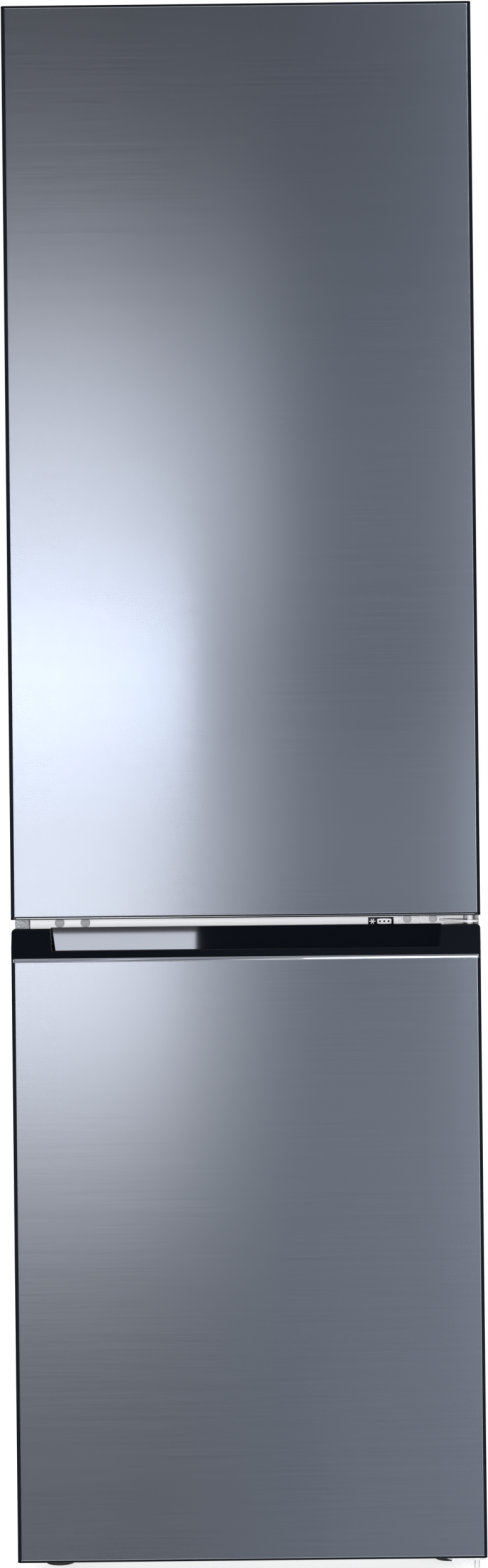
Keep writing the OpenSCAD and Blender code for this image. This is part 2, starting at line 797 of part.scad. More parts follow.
// Levelling foot: a ribbed pad with a stem
module foot(x) {
    translate([x, foot_y, 0]) {
        rotate_extrude() polygon([[0, 0], [foot_d / 2 - 1, 0], [foot_d / 2, 1],
            [foot_d / 2, foot_h - 4], [foot_d / 2 - 3, foot_h - 1.5], [foot_d / 4, foot_h], [0, foot_h]]);
        translate([0, 0, foot_h - eps]) cylinder(h = 5, d = 1.7 * stem_d, $fn = 6);
        translate([0, 0, foot_h]) cylinder(h = cab_low - foot_h - 0.5, d = stem_d);
    }
}

module front_foot_left() color("black") foot(-foot_x);

module front_foot_right() color("black") foot(foot_x);

module compressor_tray() color("silver") difference() {
    union() {
        difference() {
            block([-tray_x, comp_y + steel_t, tray_z], [tray_x, cab_rear, tray_z + tray_rim]);
            block([tray_t - tray_x, comp_y + steel_t + tray_t, tray_z + tray_t],
                [tray_x - tray_t, cab_rear + over, tray_z + tray_rim + over]);
        }
        // ears that hold the roller axles
        for (s = [-1, 1], t = [-1, 1])
            translate([s * roller_x + t * (roller_w / 2 + 1 + ear_t / 2) - ear_t / 2, 0, 0])
                along_x(0, ear_t) polygon([[roller_y - 16, tray_z + eps], [roller_y - 7, roller_d / 2 - 7],
                    [roller_y + 7, roller_d / 2 - 7], [roller_y + 16, tray_z + eps]]);
    }
    for (s = [-1, 1])
        rod_x([s * roller_x - roller_w / 2 - 10, roller_y, roller_d / 2], axle_d + 2 * seat, roller_w + 20);
}

module roller_axles() color("silver") {
    for (s = [-1, 1]) {
        rod_x([s * roller_x - roller_w / 2 - ear_t - 2, roller_y, roller_d / 2],
            axle_d, roller_w + 2 * ear_t + 4);
        for (t = [-1, 1])
            rod_x([s * roller_x + t * (roller_w / 2 + ear_t + 1.6) - axle_collar[1] / 2, roller_y, roller_d / 2],
                axle_collar[0], axle_collar[1]);
    }
}

// Roller with a grooved web and a bore that runs on its axle
module roller(x) {
    bore = axle_d / 2 + roller_fit;
    hub = axle_d / 2 + 3;
    r = roller_d / 2;
    w = roller_w / 2;
    translate([x, roller_y, r]) rotate([0, 90, 0]) rotate_extrude() polygon([
        [bore, -w], [hub, -w], [hub, roller_web - w], [r - roller_rim, roller_web - w],
        [r - roller_rim, -w], [r - 1, -w], [r, 1 - w], [r, w - 1], [r - 1, w], [r - roller_rim, w],
        [r - roller_rim, w - roller_web], [hub, w - roller_web], [hub, w], [bore, w]]);
}

module rear_roller_left() color("black") roller(-roller_x);

module rear_roller_right() color("black") roller(roller_x);

module compressor() color("#202225") {
    translate([pot_at[0], pot_at[1], pot_z]) {
        // pressed shell with its weld flange round the middle
        rotate_extrude() polygon(concat([[0, 0]],
            arc([pot_d / 2 - pot_r[0], pot_r[0]], pot_r[0], 270, 360),
            [[pot_d / 2, pot_seam[0]], [pot_d / 2 + pot_seam[1], pot_seam[0]],
                [pot_d / 2 + pot_seam[1], pot_seam[0] + pot_seam[2]],
                [pot_d / 2, pot_seam[0] + pot_seam[2]]],
            arc([pot_d / 2 - pot_r[1], pot_h - pot_r[1]], pot_r[1], 0, 90), [[0, pot_h]]));
        // foot plate
        translate([0, 0, -0.5]) linear_extrude(2.5) difference() {
            polygon(round_box(-mount_pitch / 2 - [mount_hole, mount_hole],
                mount_pitch / 2 + [mount_hole, mount_hole], 12));
            for (sx = [-1, 1], sy = [-1, 1])
                translate([sx * mount_pitch[0] / 2, sy * mount_pitch[1] / 2]) circle(d = mount_hole + 2 * seat);
        }
    }
    // suction and discharge stubs
    rod_x([suction_x, pot_at[1], suction_z], stub_d, 26);
    rod_x([discharge_x, discharge_y, discharge_z], stub_d, 28);
}

module compressor_grommets() color("#303030") {
    neck = mount_hole / 2;
    for (sx = [-1, 1], sy = [-1, 1])
        translate([pot_at[0] + sx * mount_pitch[0] / 2, pot_at[1] + sy * mount_pitch[1] / 2, tray_z + tray_t])
            rotate_extrude() polygon([[3, 0], [neck + 4, 0], [neck + 4, pot_z - 0.5 - tray_z - tray_t],
                [neck, pot_z - 0.5 - tray_z - tray_t], [neck, pot_z + 2 - tray_z - tray_t],
                [neck + 3, pot_z + 2 - tray_z - tray_t], [neck + 2, pot_z + 6 - tray_z - tray_t],
                [3, pot_z + 6 - tray_z - tray_t]]);
}

module relay_box() color("black") {
    translate([pot_at[0] + pot_d / 2 + 4.3, pot_at[1] - 32, pot_z + 22]) {
        difference() {
            rise(0, 68) polygon(round_box([0, 0], [38, 64], 5));
            translate([-over, -over, 60]) cube([6, 80, 20]);
        }
        translate([6, 10, 66]) cube([24, 30, 6]);
    }
}

module drain_pan() color("gray") {
    pan = [82, 62];
    tray([pot_at[0] - pan[0], pot_at[1] - pan[1], pot_z + pot_h + 0.3],
        [pot_at[0] + pan[0], pot_at[1] + pan[1], comp_top - 12], 2, 14);
}

// Elbow of a pipe in an upright plane turned by t about Z, from angle a over 90 degrees
module elbow(at, r, d, a, t = 0) {
    translate(at) rotate([0, 0, t]) rotate([90, 0, 0]) rotate([0, 0, a])
        rotate_extrude(angle = 90) translate([r, 0]) circle(d = d, $fn = 16);
}

// Pipe from x at height z: level towards -X by l, then up through the compartment's roof
module riser(x, y, z, l) {
    rod_x([x - l, y, z], pipe_d, l);
    elbow([x - l, y, z + pipe_r], pipe_r, pipe_d, 180);
    translate([x - l - pipe_r, y, z + pipe_r]) cylinder(h = comp_top - steel_t - z - pipe_r, d = pipe_d);
}

module refrigerant_pipes() color("peru") {
    riser(suction_x, pot_at[1], suction_z, 12);
    riser(discharge_x, discharge_y, discharge_z, 120);
    // filter drier, hanging from the roof on the liquid line
    translate(drier_at) rotate_extrude() polygon([
        [0, drier_z], [2, drier_z], [2, drier_z + drier_steps[0]],
        [9, drier_z + drier_steps[1]], [9, drier_z + drier_steps[2]],
        [3, drier_z + drier_steps[3]], [3, comp_top - steel_t], [0, comp_top - steel_t]]);
    // capillary, bent into the front wall of the compartment
    elbow([drier_at[0], drier_at[1] - pipe_r, drier_z], pipe_r, capillary_d, 270, 90);
    rod_y([drier_at[0], comp_y + steel_t, drier_z - pipe_r], capillary_d,
        drier_at[1] - pipe_r - comp_y - steel_t);
}

module rear_spacers() color("#303030") {
    for (s = [-1, 1])
        translate([s * spacer_at[0], cab_rear, spacer_at[1]]) rotate([-90, 0, 0])
            rotate_extrude() polygon([[0, 0], [spacer_foot[0], 0], spacer_foot, spacer_neck,
                [spacer_tip_r, spacer_t], [0, spacer_t]]);
}

module power_inlet() color("#202020") difference() {
    block([inlet_x[0], inlet_y[0], tray_z + tray_t], [inlet_x[1], inlet_y[1], tray_z + inlet_h]);
    block([inlet_x[0] + inlet_rim, inlet_y[1] - inlet_mouth[0],
        tray_z + inlet_h - inlet_rim - inlet_mouth[1]],
        [inlet_x[1] - inlet_rim, inlet_y[1] + over, tray_z + inlet_h - inlet_rim]);
}

module glass_shelves() color("lightcyan", 0.5) {
    for (z = shelf_levels)
        block([glass_inset - shelf_x, shelf_front + glass_edge, fridge_z + z + glass_edge],
            [shelf_x - glass_inset, shelf_back - glass_edge, fridge_z + z + glass_edge + glass_t]);
}

// Trim along a shelf's front or back edge with its groove round the glass
module shelf_trim(z, y, sgn) {
    ends = [y, y + sgn * shelf_trim_d];
    groove = [y + sgn * glass_edge, y + sgn * (shelf_trim_d + over)];
    glass_z = fridge_z + z + glass_edge;
    difference() {
        along_x(-shelf_x, shelf_x) polygon(round_box([min(ends), fridge_z + z + slide_gap],
            [max(ends), fridge_z + z + shelf_trim_h], 2.4, 2));
        block([glass_inset - shelf_x - seat, min(groove), glass_z - seat],
            [shelf_x - glass_inset + seat, max(groove), glass_z + glass_t + seat]);
    }
}

module shelf_trims() color("whitesmoke") {
    for (z = shelf_levels) {
        shelf_trim(z, shelf_front, 1);
        shelf_trim(z, shelf_back, -1);
    }
}

module air_duct_cover() color("whitesmoke") difference() {
    along_y(fridge_y - duct_t, fridge_y) polygon(round_box(
        [-duct_w / 2, fridge_z + shelf_levels[0] + 20], [duct_w / 2, fridge_top - 26], 12));
    // hollow behind the face, and the slots that let the cold air out
    block([duct_wall - duct_w / 2, fridge_y - duct_t + 3, fridge_z + shelf_levels[0] + 30],
        [duct_w / 2 - duct_wall, fridge_y + over, fridge_top - 36]);
    for (z = duct_z, k = [0, 1, 2], s = [-1, 1])
        let (at = [s * duct_w / 4 - duct_slot[0] / 2, z + duct_pitch * k])
            along_y(fridge_y - duct_t - over, fridge_y - duct_t + 4)
                polygon(round_box(at, at + duct_slot, duct_slot[1] / 2 - 0.1, 3));
}

module control_panel() color("whitesmoke") difference() {
    along_x(-panel_w / 2, panel_w / 2) polygon([
        [panel_y0 + 4, panel_z0], [panel_y0 + panel_d - 20, panel_z0], [panel_y0 + panel_d, fridge_top],
        [panel_y0, fridge_top], [panel_y0, panel_z0 + 5]]);
    block([panel_wall - panel_w / 2, panel_y0 + 5, panel_z0 + panel_wall],
        [panel_w / 2 - panel_wall, panel_y0 + panel_d - 26, fridge_top - 2]);
    for (s = [-1, 1])
        translate([s * button_x, button_y, panel_z0 - over])
            cylinder(h = panel_wall + 2 * over, d = button_d + 2 * button_fit);
}

module lamp_lens() color("white", 0.8)
    rise(panel_z0 - 2, panel_z0) polygon(round_box(
        [-lens_x, button_y + button_d / 2 + 8], [lens_x, panel_y0 + panel_d - 28], 6));

// Push button with a collar that stops it in the panel
module button(x) {
    translate([x, button_y, panel_z0 - button_travel - button_gap]) {
        cylinder(h = button_h, d = button_d);
        translate([0, 0, button_travel + button_gap + panel_wall + 0.3]) cylinder(h = 2, d = button_d + 4);
    }
}

module button_left() color("gainsboro") button(-button_x);

module button_right() color("gainsboro") button(button_x);

// Crisper from x0 to x1 with a curved front that rises to a pull edge
module crisper(x0, x1) {
    y1 = crisper_back;
    top = crisper_z + crisper_h;
    difference() {
        tray([x0, crisper_front, crisper_z], [x1, y1, top], crisper_wall, 10);
        block([x0 - over, crisper_front + 30, crisper_rim_z + 3], [x1 + over, y1 + over, top + over]);
    }
    // rim round the back and sides
    difference() {
        rise(crisper_rim_z, crisper_rim_z + 3) polygon(round_box(
            [x0 - crisper_rim_w, crisper_front + 31], [x1 + crisper_rim_w, y1 + crisper_rim_w], 8));
        rise(crisper_rim_z - over, crisper_rim_z + 3 + over) polygon(round_box(
            [x0 + crisper_wall, crisper_front + 20], [x1 - crisper_wall, y1 - crisper_wall], 7));
    }
    // pull along the upper front edge
    block([x0 + pull_inset, crisper_front - pull_d, top - 12], [x1 - pull_inset, crisper_front + 2, top - 9]);
    block([x0 + pull_inset, crisper_front - pull_d, top - 9 - pull_h],
        [x1 - pull_inset, crisper_front - pull_d / 2, top - 10]);
}

module crisper_left() color("lightcyan", 0.6) crisper(-crisper_w - crisper_gap / 2, -crisper_gap / 2);

module crisper_right() color("lightcyan", 0.6) crisper(crisper_gap / 2, crisper_w + crisper_gap / 2);

// Drawer of the freezer with a tall front, a rim on the runners and a pull
module freezer_drawer(i) {
    z0 = freezer_z + drawer_levels[i];
    h = drawer_heights[i];
    y1 = drawer_y1(i);
    side_h = h - 46;
    difference() {
        union() {
            rise(z0, z0 + side_h) polygon(round_box([-drawer_x, drawer_front + 4], [drawer_x, y1], 10));
            rise(rim_z(i) + slide_gap, rim_z(i) + slide_gap + 4) polygon(
                round_box([-rim_x, drawer_front + 2], [rim_x, y1], 4));
            along_x(-rim_x, rim_x) polygon(concat(
                [[drawer_front + front_t, z0 - 3], [drawer_front + front_t, z0 + h]],
                arc([drawer_front + 4, z0 + h - 4], 4, 90, 180, 3),
                [[drawer_front, z0 + 1], [drawer_front + 4, z0 - 3]]));
        }
        rise(z0 + drawer_wall, z0 + h + over) polygon(round_box(
            [drawer_wall - drawer_x, drawer_front + front_t], [drawer_x - drawer_wall, y1 - drawer_wall], 8));
        // finger slot under the top edge of the front
        along_y(drawer_front - over, drawer_front + 6) polygon(round_box(
            [-finger_slot[0] / 2, z0 + h - 16 - finger_slot[1]], [finger_slot[0] / 2, z0 + h - 16], 8));
    }
}

module freezer_drawer_lower() color("lightcyan", 0.6) freezer_drawer(0);

module freezer_drawer_middle() color("lightcyan", 0.6) freezer_drawer(1);

module freezer_drawer_upper() color("lightcyan", 0.6) freezer_drawer(2);

module evaporator_cover() color("white") {
    difference() {
        along_y(evap_y - evap_cover_t, evap_y) polygon(round_box(
            [1 - freezer_x, step_z + 0.3], [freezer_x - 1, freezer_top - 1], cavity_r));
        // outlet grille in front of the fan: two rings of slots
        for (r = [24, 42])
            difference() {
                rod_y([0, evap_y - evap_cover_t - over, fan_z], 2 * (r + grille_slot), evap_cover_t + 2 * over);
                rod_y([0, evap_y - evap_cover_t - 2 * over, fan_z], 2 * r, evap_cover_t + 4 * over);
                for (a = [0:45:135])
                    translate([0, evap_y - evap_cover_t / 2, fan_z]) rotate([0, a, 0])
                        cube([2 * r + 20, evap_cover_t + 6 * over, grille_rib], center = true);
            }
        // return slots low down
        for (x = [-3:3])
            along_y(evap_y - evap_cover_t - over, evap_y + over) polygon(round_box(
                [x * 56 - 20, step_z + 14], [x * 56 + 20, step_z + 22], 3.9, 3));
    }
}

module evaporator() color("lightgray") {
    fin_pitch = 2 * (evap_half - 12) / (fin_count - 1);
    for (row = [0, 1], k = [0:4])
        rod_x([-evap_half, evap_y + 22 + row * 26, evap_z0 + 20 + k * 42], evap_tube_d, 2 * evap_half);
    for (i = [0:fin_count - 1])
        let (x = i * fin_pitch - evap_half + 12)
            block([x - evap_fin_t / 2, evap_y + 8, evap_z0], [x + evap_fin_t / 2, evap_y + 60, evap_z0 + evap_h]);
    // brackets that hang the coil on the rear wall
    for (s = [-1, 1])
        block([s * (evap_half - 12) - 10, evap_y + 59, evap_z0 + evap_h - 30],
            [s * (evap_half - 12) + 10, freezer_y, evap_z0 + evap_h - 10]);
}

module fan_shroud() color("whitesmoke") {
    r = fan_d / 2 + shroud_gap;
    difference() {
        union() {
            rod_y([0, evap_y, fan_z], 2 * (r + shroud_wall), rotor_h + 8);
            rod_y([0, evap_y, fan_z], 2 * (r + shroud_wall) + 16, 3);
        }
        rod_y([0, evap_y - over, fan_z], 2 * r, rotor_h + 8 + 2 * over);
    }
    // spider that carries the motor
    difference() {
        for (a = [30, 150, 270])
            translate([0, motor_y, fan_z]) rotate([0, a, 0]) block([0, 0, -4], [r + 1, spider_t, 4]);
        rod_y([0, motor_y - over, fan_z], 30, 6);
    }
    difference() {
        rod_y([0, motor_y, fan_z], 40, spider_t);
        rod_y([0, motor_y - over, fan_z], 14, 4);
    }
}

module fan_motor() color("dimgray") {
    rod_y([0, motor_y + spider_t, fan_z], 36, freezer_y - motor_y - spider_t - 6);
    rod_y([0, motor_y - 1, fan_z], 12, 3 + eps);
    rod_y([0, fan_y + 2, fan_z], shaft_d, motor_y - fan_y);
}

// Point of a fan blade's edge at station i of 5, swept from angle a0 at the hub to a1 at the tip
function blade_edge(i, a0, a1) =
    let (r = hub_r - 3 + (fan_d / 2 + 4 - hub_r) * i / 5, a = a0 + (a1 - a0) * sin(i * 18))
        [r * cos(a), r * sin(a)];

// Cambered fan blade: a curved section along the radius, cut to a swept outline and a round tip
module blade() intersection() {
    camber_r = 60;
    camber_at = [-13.5, camber_r + 1];
    along_x(0, fan_d) polygon(concat(
        arc(camber_at, camber_r, 280, 314, 6),
        arc(camber_at, camber_r - 1.8, 314, 280, 6)));
    rise(0, rotor_h) polygon(concat(
        [for (i = [0:5]) blade_edge(i, -8, 5)],
        [for (i = [5:-1:0]) blade_edge(i, 44, 30)]));
    cylinder(h = rotor_h, d = fan_d);
}

// Hub and swept, pitched blades on the motor's shaft
module fan_rotor() color("white") translate([0, fan_y, fan_z]) rotate([-90, 0, 0]) difference() {
    union() {
        rotate_extrude() polygon([[0, 0], [hub_r - 4, 0], [hub_r, 4], [hub_r, rotor_h], [0, rotor_h]]);
        for (k = [0:blade_count - 1])
            rotate(k * 360 / blade_count) blade();
    }
    translate([0, 0, -over]) cylinder(h = rotor_h + 2 * over, d = shaft_d + 2 * shaft_fit);
}

// Steel skin of a door, folded round the sides and back
module door_skin(z0, z1) {
    rise(z0, z1) difference() {
        polygon(door_outline(0, skin_back));
        polygon(door_outline(steel_t, skin_back - steel_t));
        translate([skin_return - half_w, skin_back - 2 * steel_t])
            square([overall_w - 2 * skin_return, 3 * steel_t]);
    }
}

// Raised ring of a door liner, drawn in by s
module dike(x, z0, z1, h, s) {
    for (t = [-1, 1]) {
        rise(z0 + s, z1 - s)
            polygon([for (p = dike_profile(dike_w, h, s)) [t * (x - p[0]), door_back + p[1]]]);
        along_x(s - x, x - s) polygon([for (p = dike_profile(dike_w, h, s))
            [door_back + p[1], (t < 0 ? z0 : z1) - t * p[0]]]);
    }
}

// Foam core of a door between z0 and z1, with its raised ring a hairline off the slab
module door_core(z0, z1, x, d0, d1, h) {
    rise(z0, z1) {
        polygon(door_outline(steel_t, skin_back - steel_t));
        translate([skin_return - half_w, door_back - door_t / 2])
            square([overall_w - 2 * skin_return, door_t / 2 - liner_t]);
    }
    intersection() {
        dike(x, d0, d1, h, liner_t);
        block([-half_w, skin_back + hairline, z0], [half_w, door_back + h, z1]);
    }
}

// Formed inner panel of a door between z0 and z1
module door_panel(z0, z1, x, d0, d1, h) {
    difference() {
        union() {
            block([3 - half_w, skin_back, z0], [half_w - 3, door_back, z1]);
            intersection() {
                dike(x, d0, d1, h, 0);
                block([-half_w, skin_back, z0], [half_w, door_back + 60, z1]);
            }
        }
        dike(x, d0, d1, h, liner_t);
    }
}

// Magnetic gasket with its dart, bellows and sealing face
module gasket(z0, z1) {
    y1 = cab_front - gasket_gap;
    frame(seal_x + 1, z0 - 1, z1 + 1, gasket_w + 2, door_back, door_back + 2);
    frame(seal_x - 2, z0 + 2, z1 - 2, gasket_w - 4, door_back + 2 - eps, y1 - 2.5 + eps);
    frame(seal_x, z0, z1, gasket_w, y1 - 2.5, y1);
}

// Blind bush that takes a hinge pin, opening at z in direction t
module bush(z, t) {
    bore = pin_d / 2 + pin_fit;
    depth = pin_reach + 0.3;
    translate([hinge_x, hinge_y, z]) rotate([t > 0 ? 180 : 0, 0, 0]) rotate_extrude()
        polygon([[bore, 0], [bush_d / 2, 0], [bush_d / 2, bush_h], [0, bush_h], [0, depth], [bore, depth]]);
}

// Hole in a cap for a bush
module bush_seat(z, t) {
    translate([hinge_x, hinge_y, t > 0 ? z - bush_h - seat : z - over])
        cylinder(h = bush_h + over + seat, d = bush_d + 2 * seat);
}

// Room that the top hinge's arm sweeps through in the top of the fridge door
module hinge_well() {
    block([well_x, well_y, well_z], [half_w + over, door_back + over, top_z1 + over]);
}

module fridge_door_skin() color("slategray") difference() {
    door_skin(top_z0 + under_cap_h, top_z1 - top_cap_h);
    hinge_well();
}

module fridge_door_insulation() color("lightyellow")
    door_core(fridge_core_z[0], fridge_core_z[1], dike_x, fridge_dike_z[0], fridge_dike_z[1], fridge_dike_h);

module fridge_door_liner() color("white") {
    difference() {
        door_panel(top_z0 + under_cap_h, top_z1 - top_cap_h,
            dike_x, fridge_dike_z[0], fridge_dike_z[1], fridge_dike_h);
        hinge_well();
    }
    // lugs on the dike that carry the bins
    for (z = bin_levels)
        block_pair([dike_x - dike_w - bin_lug_w, door_back - eps, fridge_z + z - bin_lug_h],
            [dike_x - dike_w + liner_t / 2, door_back + fridge_dike_h - 7, fridge_z + z]);
}

module fridge_door_gasket() color("gray") gasket(mid_z + seal_half, cab_top - 3);

module fridge_door_top_cap() color("#202225") difference() {
    union() {
        rise(top_z1 - top_cap_h, top_z1) polygon(door_outline(0, door_back));
        rise(fridge_core_z[1], top_z1 - top_cap_h + eps) difference() {
            polygon(door_outline(steel_t, skin_back - steel_t));
            polygon(round_box([steel_t + cap_wall - half_w, door_front + steel_t + cap_wall],
                [well_x - cap_wall, skin_back - steel_t - cap_wall], 2));
        }
    }
    hinge_well();
    bush_seat(well_z, 1);
}

module fridge_door_bottom_cap() color("#202225") difference() {
    union() {
        rise(top_z0, top_z0 + under_cap_h) polygon(door_outline(0, door_back));
        rise(top_z0 + under_cap_h - eps, fridge_core_z[0]) difference() {
            polygon(door_outline(steel_t, skin_back - steel_t));
            // hollows beside the grip
            for (s = [0, 180])
                translate([0, (door_front + skin_back) / 2]) rotate(s)
                    translate([under_grip_w / 2 + cap_wall, -cap_hollow / 2])
                        square([hinge_x - bush_d - under_grip_w / 2 - cap_wall, cap_hollow]);
        }
    }
    // grip open downwards
    along_x(-under_grip_w / 2, under_grip_w / 2) polygon(concat(
        [[under_grip_y[0], top_z0 - over]],
        arc([under_grip_y[0] + under_grip_r, top_z0 + under_grip_h - under_grip_r], under_grip_r, 180, 90, 4),
        arc([under_grip_y[1] - under_grip_r, top_z0 + under_grip_h - under_grip_r], under_grip_r, 90, 0, 4),
        [[under_grip_y[1], top_z0 - over]]));
    bush_seat(top_z0, -1);
}

module fridge_door_bushes() color("black") {
    bush(well_z, 1);
    bush(top_z0, -1);
}

module door_bins() color("lightcyan", 0.6) {
    for (i = [0, 1, 2])
        let (z0 = fridge_z + bin_levels[i] + 0.1, z1 = z0 + bin_heights[i])
            difference() {
                union() {
                    rise(z0, z1) polygon(round_box([-bin_x, bin_front], [bin_x, bin_back], bin_r));
                    // rolled rim
                    rise(z1 - 6, z1 - 3) polygon(
                        round_box([-bin_x, bin_front], [bin_x, bin_back + 2], bin_r));
                }
                rise(z0 + bin_wall, z1 + over) polygon(round_box([bin_wall - bin_x, bin_front + bin_wall],
                    [bin_x - bin_wall, bin_back - bin_wall], bin_r - bin_wall));
                // the side towards the door is cut low
                block([bin_r + 8 - bin_x, bin_front - over, z0 + bin_low_h],
                    [bin_x - bin_r - 8, bin_front + bin_wall + over, z1 + over]);
            }
}

module freezer_door_skin() color("slategray") door_skin(low_z0 + base_cap_h, steel_z);

module freezer_door_insulation() color("lightyellow")
    door_core(freezer_core_z[0], freezer_core_z[1], freezer_dike_x, freezer_dike_z[0],
        freezer_dike_z[1], freezer_dike_h);

module freezer_door_liner() color("white")
    door_panel(low_z0 + base_cap_h, low_z1 - grip_back_h, freezer_dike_x, freezer_dike_z[0],
        freezer_dike_z[1], freezer_dike_h);

module freezer_door_gasket() color("gray") gasket(cab_low + low_plate_h - 6, mid_z - seal_half);

// Body of the grip cap: the leaning face cut to the door's outline and corners
module grip_cap_body() {
    intersection() {
        along_x(-half_w, half_w) polygon([[door_front, steel_z], [door_front, trim_z],
            [grip_top_y, low_z1 - grip_edge], [grip_top_y + grip_edge, low_z1],
            [door_back, low_z1], [door_back, low_z1 - grip_back_h],
            [skin_back - steel_t, low_z1 - grip_back_h], [skin_back - steel_t, grip_floor],
            [door_front, grip_floor]]);
        along_y(door_front - over, door_back + over) polygon(concat(
            [[half_w, grip_floor]],
            arc([half_w - grip_corner_r, low_z1 - grip_corner_r], grip_corner_r, 0, 90),
            arc([grip_corner_r - half_w, low_z1 - grip_corner_r], grip_corner_r, 90, 180),
            [[-half_w, grip_floor]]));
        union() {
            rise(grip_floor, steel_z) polygon(door_outline(steel_t, door_back));
            rise(steel_z - eps, trim_z) polygon(door_outline(grip_trim_t + seat, door_back));
            rise(trim_z, low_z1 + over) polygon(door_outline(0, door_back));
        }
    }
}

module freezer_door_grip_cap() color("#15171a") difference() {
    grip_cap_body();
    // grip open to the front and above, its ends slanting inwards
    along_y(door_front - over, grip_y) polygon([
        [-grip_w / 2, low_z1 + over], [grip_slant - grip_w / 2, lip_z],
        [grip_w / 2 - grip_slant, lip_z], [grip_w / 2, low_z1 + over]]);
    // finger pocket behind the lip
    along_x(grip_slant - grip_w / 2, grip_w / 2 - grip_slant) polygon(concat(
        [[pocket_y, lip_z + over]],
        arc([pocket_y + pocket_r, pocket_z + pocket_r], pocket_r, 180, 270, 4),
        arc([grip_y - pocket_r, pocket_z + pocket_r], pocket_r, 270, 360, 4),
        [[grip_y, lip_z + over]]));
    // hollow behind the grip's rear wall
    block([-grip_w / 2, grip_y + cap_wall, grip_floor - over],
        [grip_w / 2, skin_back - steel_t - cap_wall, low_z1 - grip_back_h - cap_wall]);
    bush_seat(low_z1, 1);
}

module freezer_door_trim() color("silver") rise(steel_z, trim_z) difference() {
    polygon(door_outline(0, door_back));
    polygon(door_outline(grip_trim_t, door_back + over));
}

module freezer_door_base_cap() color("#202225") {
    difference() {
        union() {
            rise(low_z0, low_z0 + base_cap_h) polygon(door_outline(0, door_back));
            rise(low_z0 + base_cap_h - eps, freezer_core_z[0]) difference() {
                polygon(door_outline(steel_t, skin_back - steel_t));
                translate([steel_t + cap_wall - half_w, door_front + steel_t + cap_wall])
                    square([half_w + hinge_x - bush_d - steel_t - cap_wall, cap_hollow]);
            }
        }
        bush_seat(low_z0, -1);
    }
}

module freezer_door_bushes() color("black") {
    bush(low_z0, -1);
    bush(low_z1, 1);
}

cabinet_shell();
rear_panel();
base_plate();
cabinet_insulation();
fridge_liner();
freezer_liner();
mullion_rail();
hinge_hole_caps();
top_hinge();
top_hinge_cover();
middle_hinge();
bottom_hinge();
hinge_screws();
foot_brackets();
front_foot_left();
front_foot_right();
compressor_tray();
roller_axles();
rear_roller_left();
rear_roller_right();
compressor();
compressor_grommets();
relay_box();
drain_pan();
refrigerant_pipes();
rear_spacers();
power_inlet();
glass_shelves();
shelf_trims();
air_duct_cover();
control_panel();
lamp_lens();
button_left();
button_right();
crisper_left();
crisper_right();
evaporator_cover();
evaporator();
fan_shroud();
fan_motor();
fan_rotor();
freezer_drawer_lower();
freezer_drawer_middle();
freezer_drawer_upper();
fridge_door_skin();
fridge_door_insulation();
fridge_door_liner();
fridge_door_gasket();
fridge_door_top_cap();
fridge_door_bottom_cap();
fridge_door_bushes();
door_bins();
freezer_door_skin();
freezer_door_insulation();
freezer_door_liner();
freezer_door_gasket();
freezer_door_grip_cap();
freezer_door_trim();
freezer_door_base_cap();
freezer_door_bushes();
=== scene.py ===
"""Looks of a tall fridge freezer: finishes, rounded edges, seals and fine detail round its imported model."""
import json
import math

import bpy
from mathutils import Matrix, Vector


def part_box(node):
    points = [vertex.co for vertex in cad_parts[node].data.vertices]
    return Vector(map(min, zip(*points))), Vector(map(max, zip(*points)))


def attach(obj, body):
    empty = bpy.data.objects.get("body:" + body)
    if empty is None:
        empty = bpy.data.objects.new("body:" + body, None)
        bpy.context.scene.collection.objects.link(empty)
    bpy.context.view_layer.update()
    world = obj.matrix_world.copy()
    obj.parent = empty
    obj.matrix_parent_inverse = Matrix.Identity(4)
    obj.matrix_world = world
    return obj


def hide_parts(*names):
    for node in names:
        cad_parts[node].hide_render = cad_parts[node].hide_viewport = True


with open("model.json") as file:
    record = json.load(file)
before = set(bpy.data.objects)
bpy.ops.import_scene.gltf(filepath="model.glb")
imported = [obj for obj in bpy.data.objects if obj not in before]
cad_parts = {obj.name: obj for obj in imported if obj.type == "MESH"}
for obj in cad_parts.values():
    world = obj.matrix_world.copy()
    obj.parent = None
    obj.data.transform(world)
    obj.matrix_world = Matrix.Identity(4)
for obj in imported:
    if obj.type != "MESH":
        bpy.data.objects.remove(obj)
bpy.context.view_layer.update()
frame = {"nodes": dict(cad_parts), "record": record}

MM = 0.001

# photograph: its height in pixels, the size of a pixel on the doors' front, and where it was taken from
PHOTO_H = 2488
PX = 0.7968 * MM
VIEW_DISTANCE = 4.5
CAMERA_X = 0.12
CAMERA_Z = 1.15
FRAME_CENTRE = Vector((0.0, 1.010))
ROLL = math.radians(-0.64)
SENSOR_W = 36.0

# places taken from the frame
DOOR_LO, DOOR_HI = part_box("fridge_door_skin")
RAIL_LO, RAIL_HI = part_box("mullion_rail")
LIP_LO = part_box("fridge_door_bottom_cap")[0]

# angle past which an edge counts as sharp, and how far apart two points of one corner may lie
SHARP = math.radians(32)
SAME_POINT = 0.01 * MM


def deselect():
    bpy.ops.object.select_all(action="DESELECT")


def activate(obj):
    """Selects one object alone and makes it the active one."""
    deselect()
    obj.select_set(True)
    bpy.context.view_layer.objects.active = obj


def settle(obj):
    """Puts the object's place, turn and size into its mesh."""
    activate(obj)
    bpy.ops.object.transform_apply(location=True, rotation=True, scale=True)
    return obj


def modify(obj, kind, **values):
    """Adds a modifier, sets its values and applies it."""
    activate(obj)
    mod = obj.modifiers.new(kind.lower(), kind)
    for key, value in values.items():
        setattr(mod, key, value)
    bpy.ops.object.modifier_apply(modifier=mod.name)
    return obj


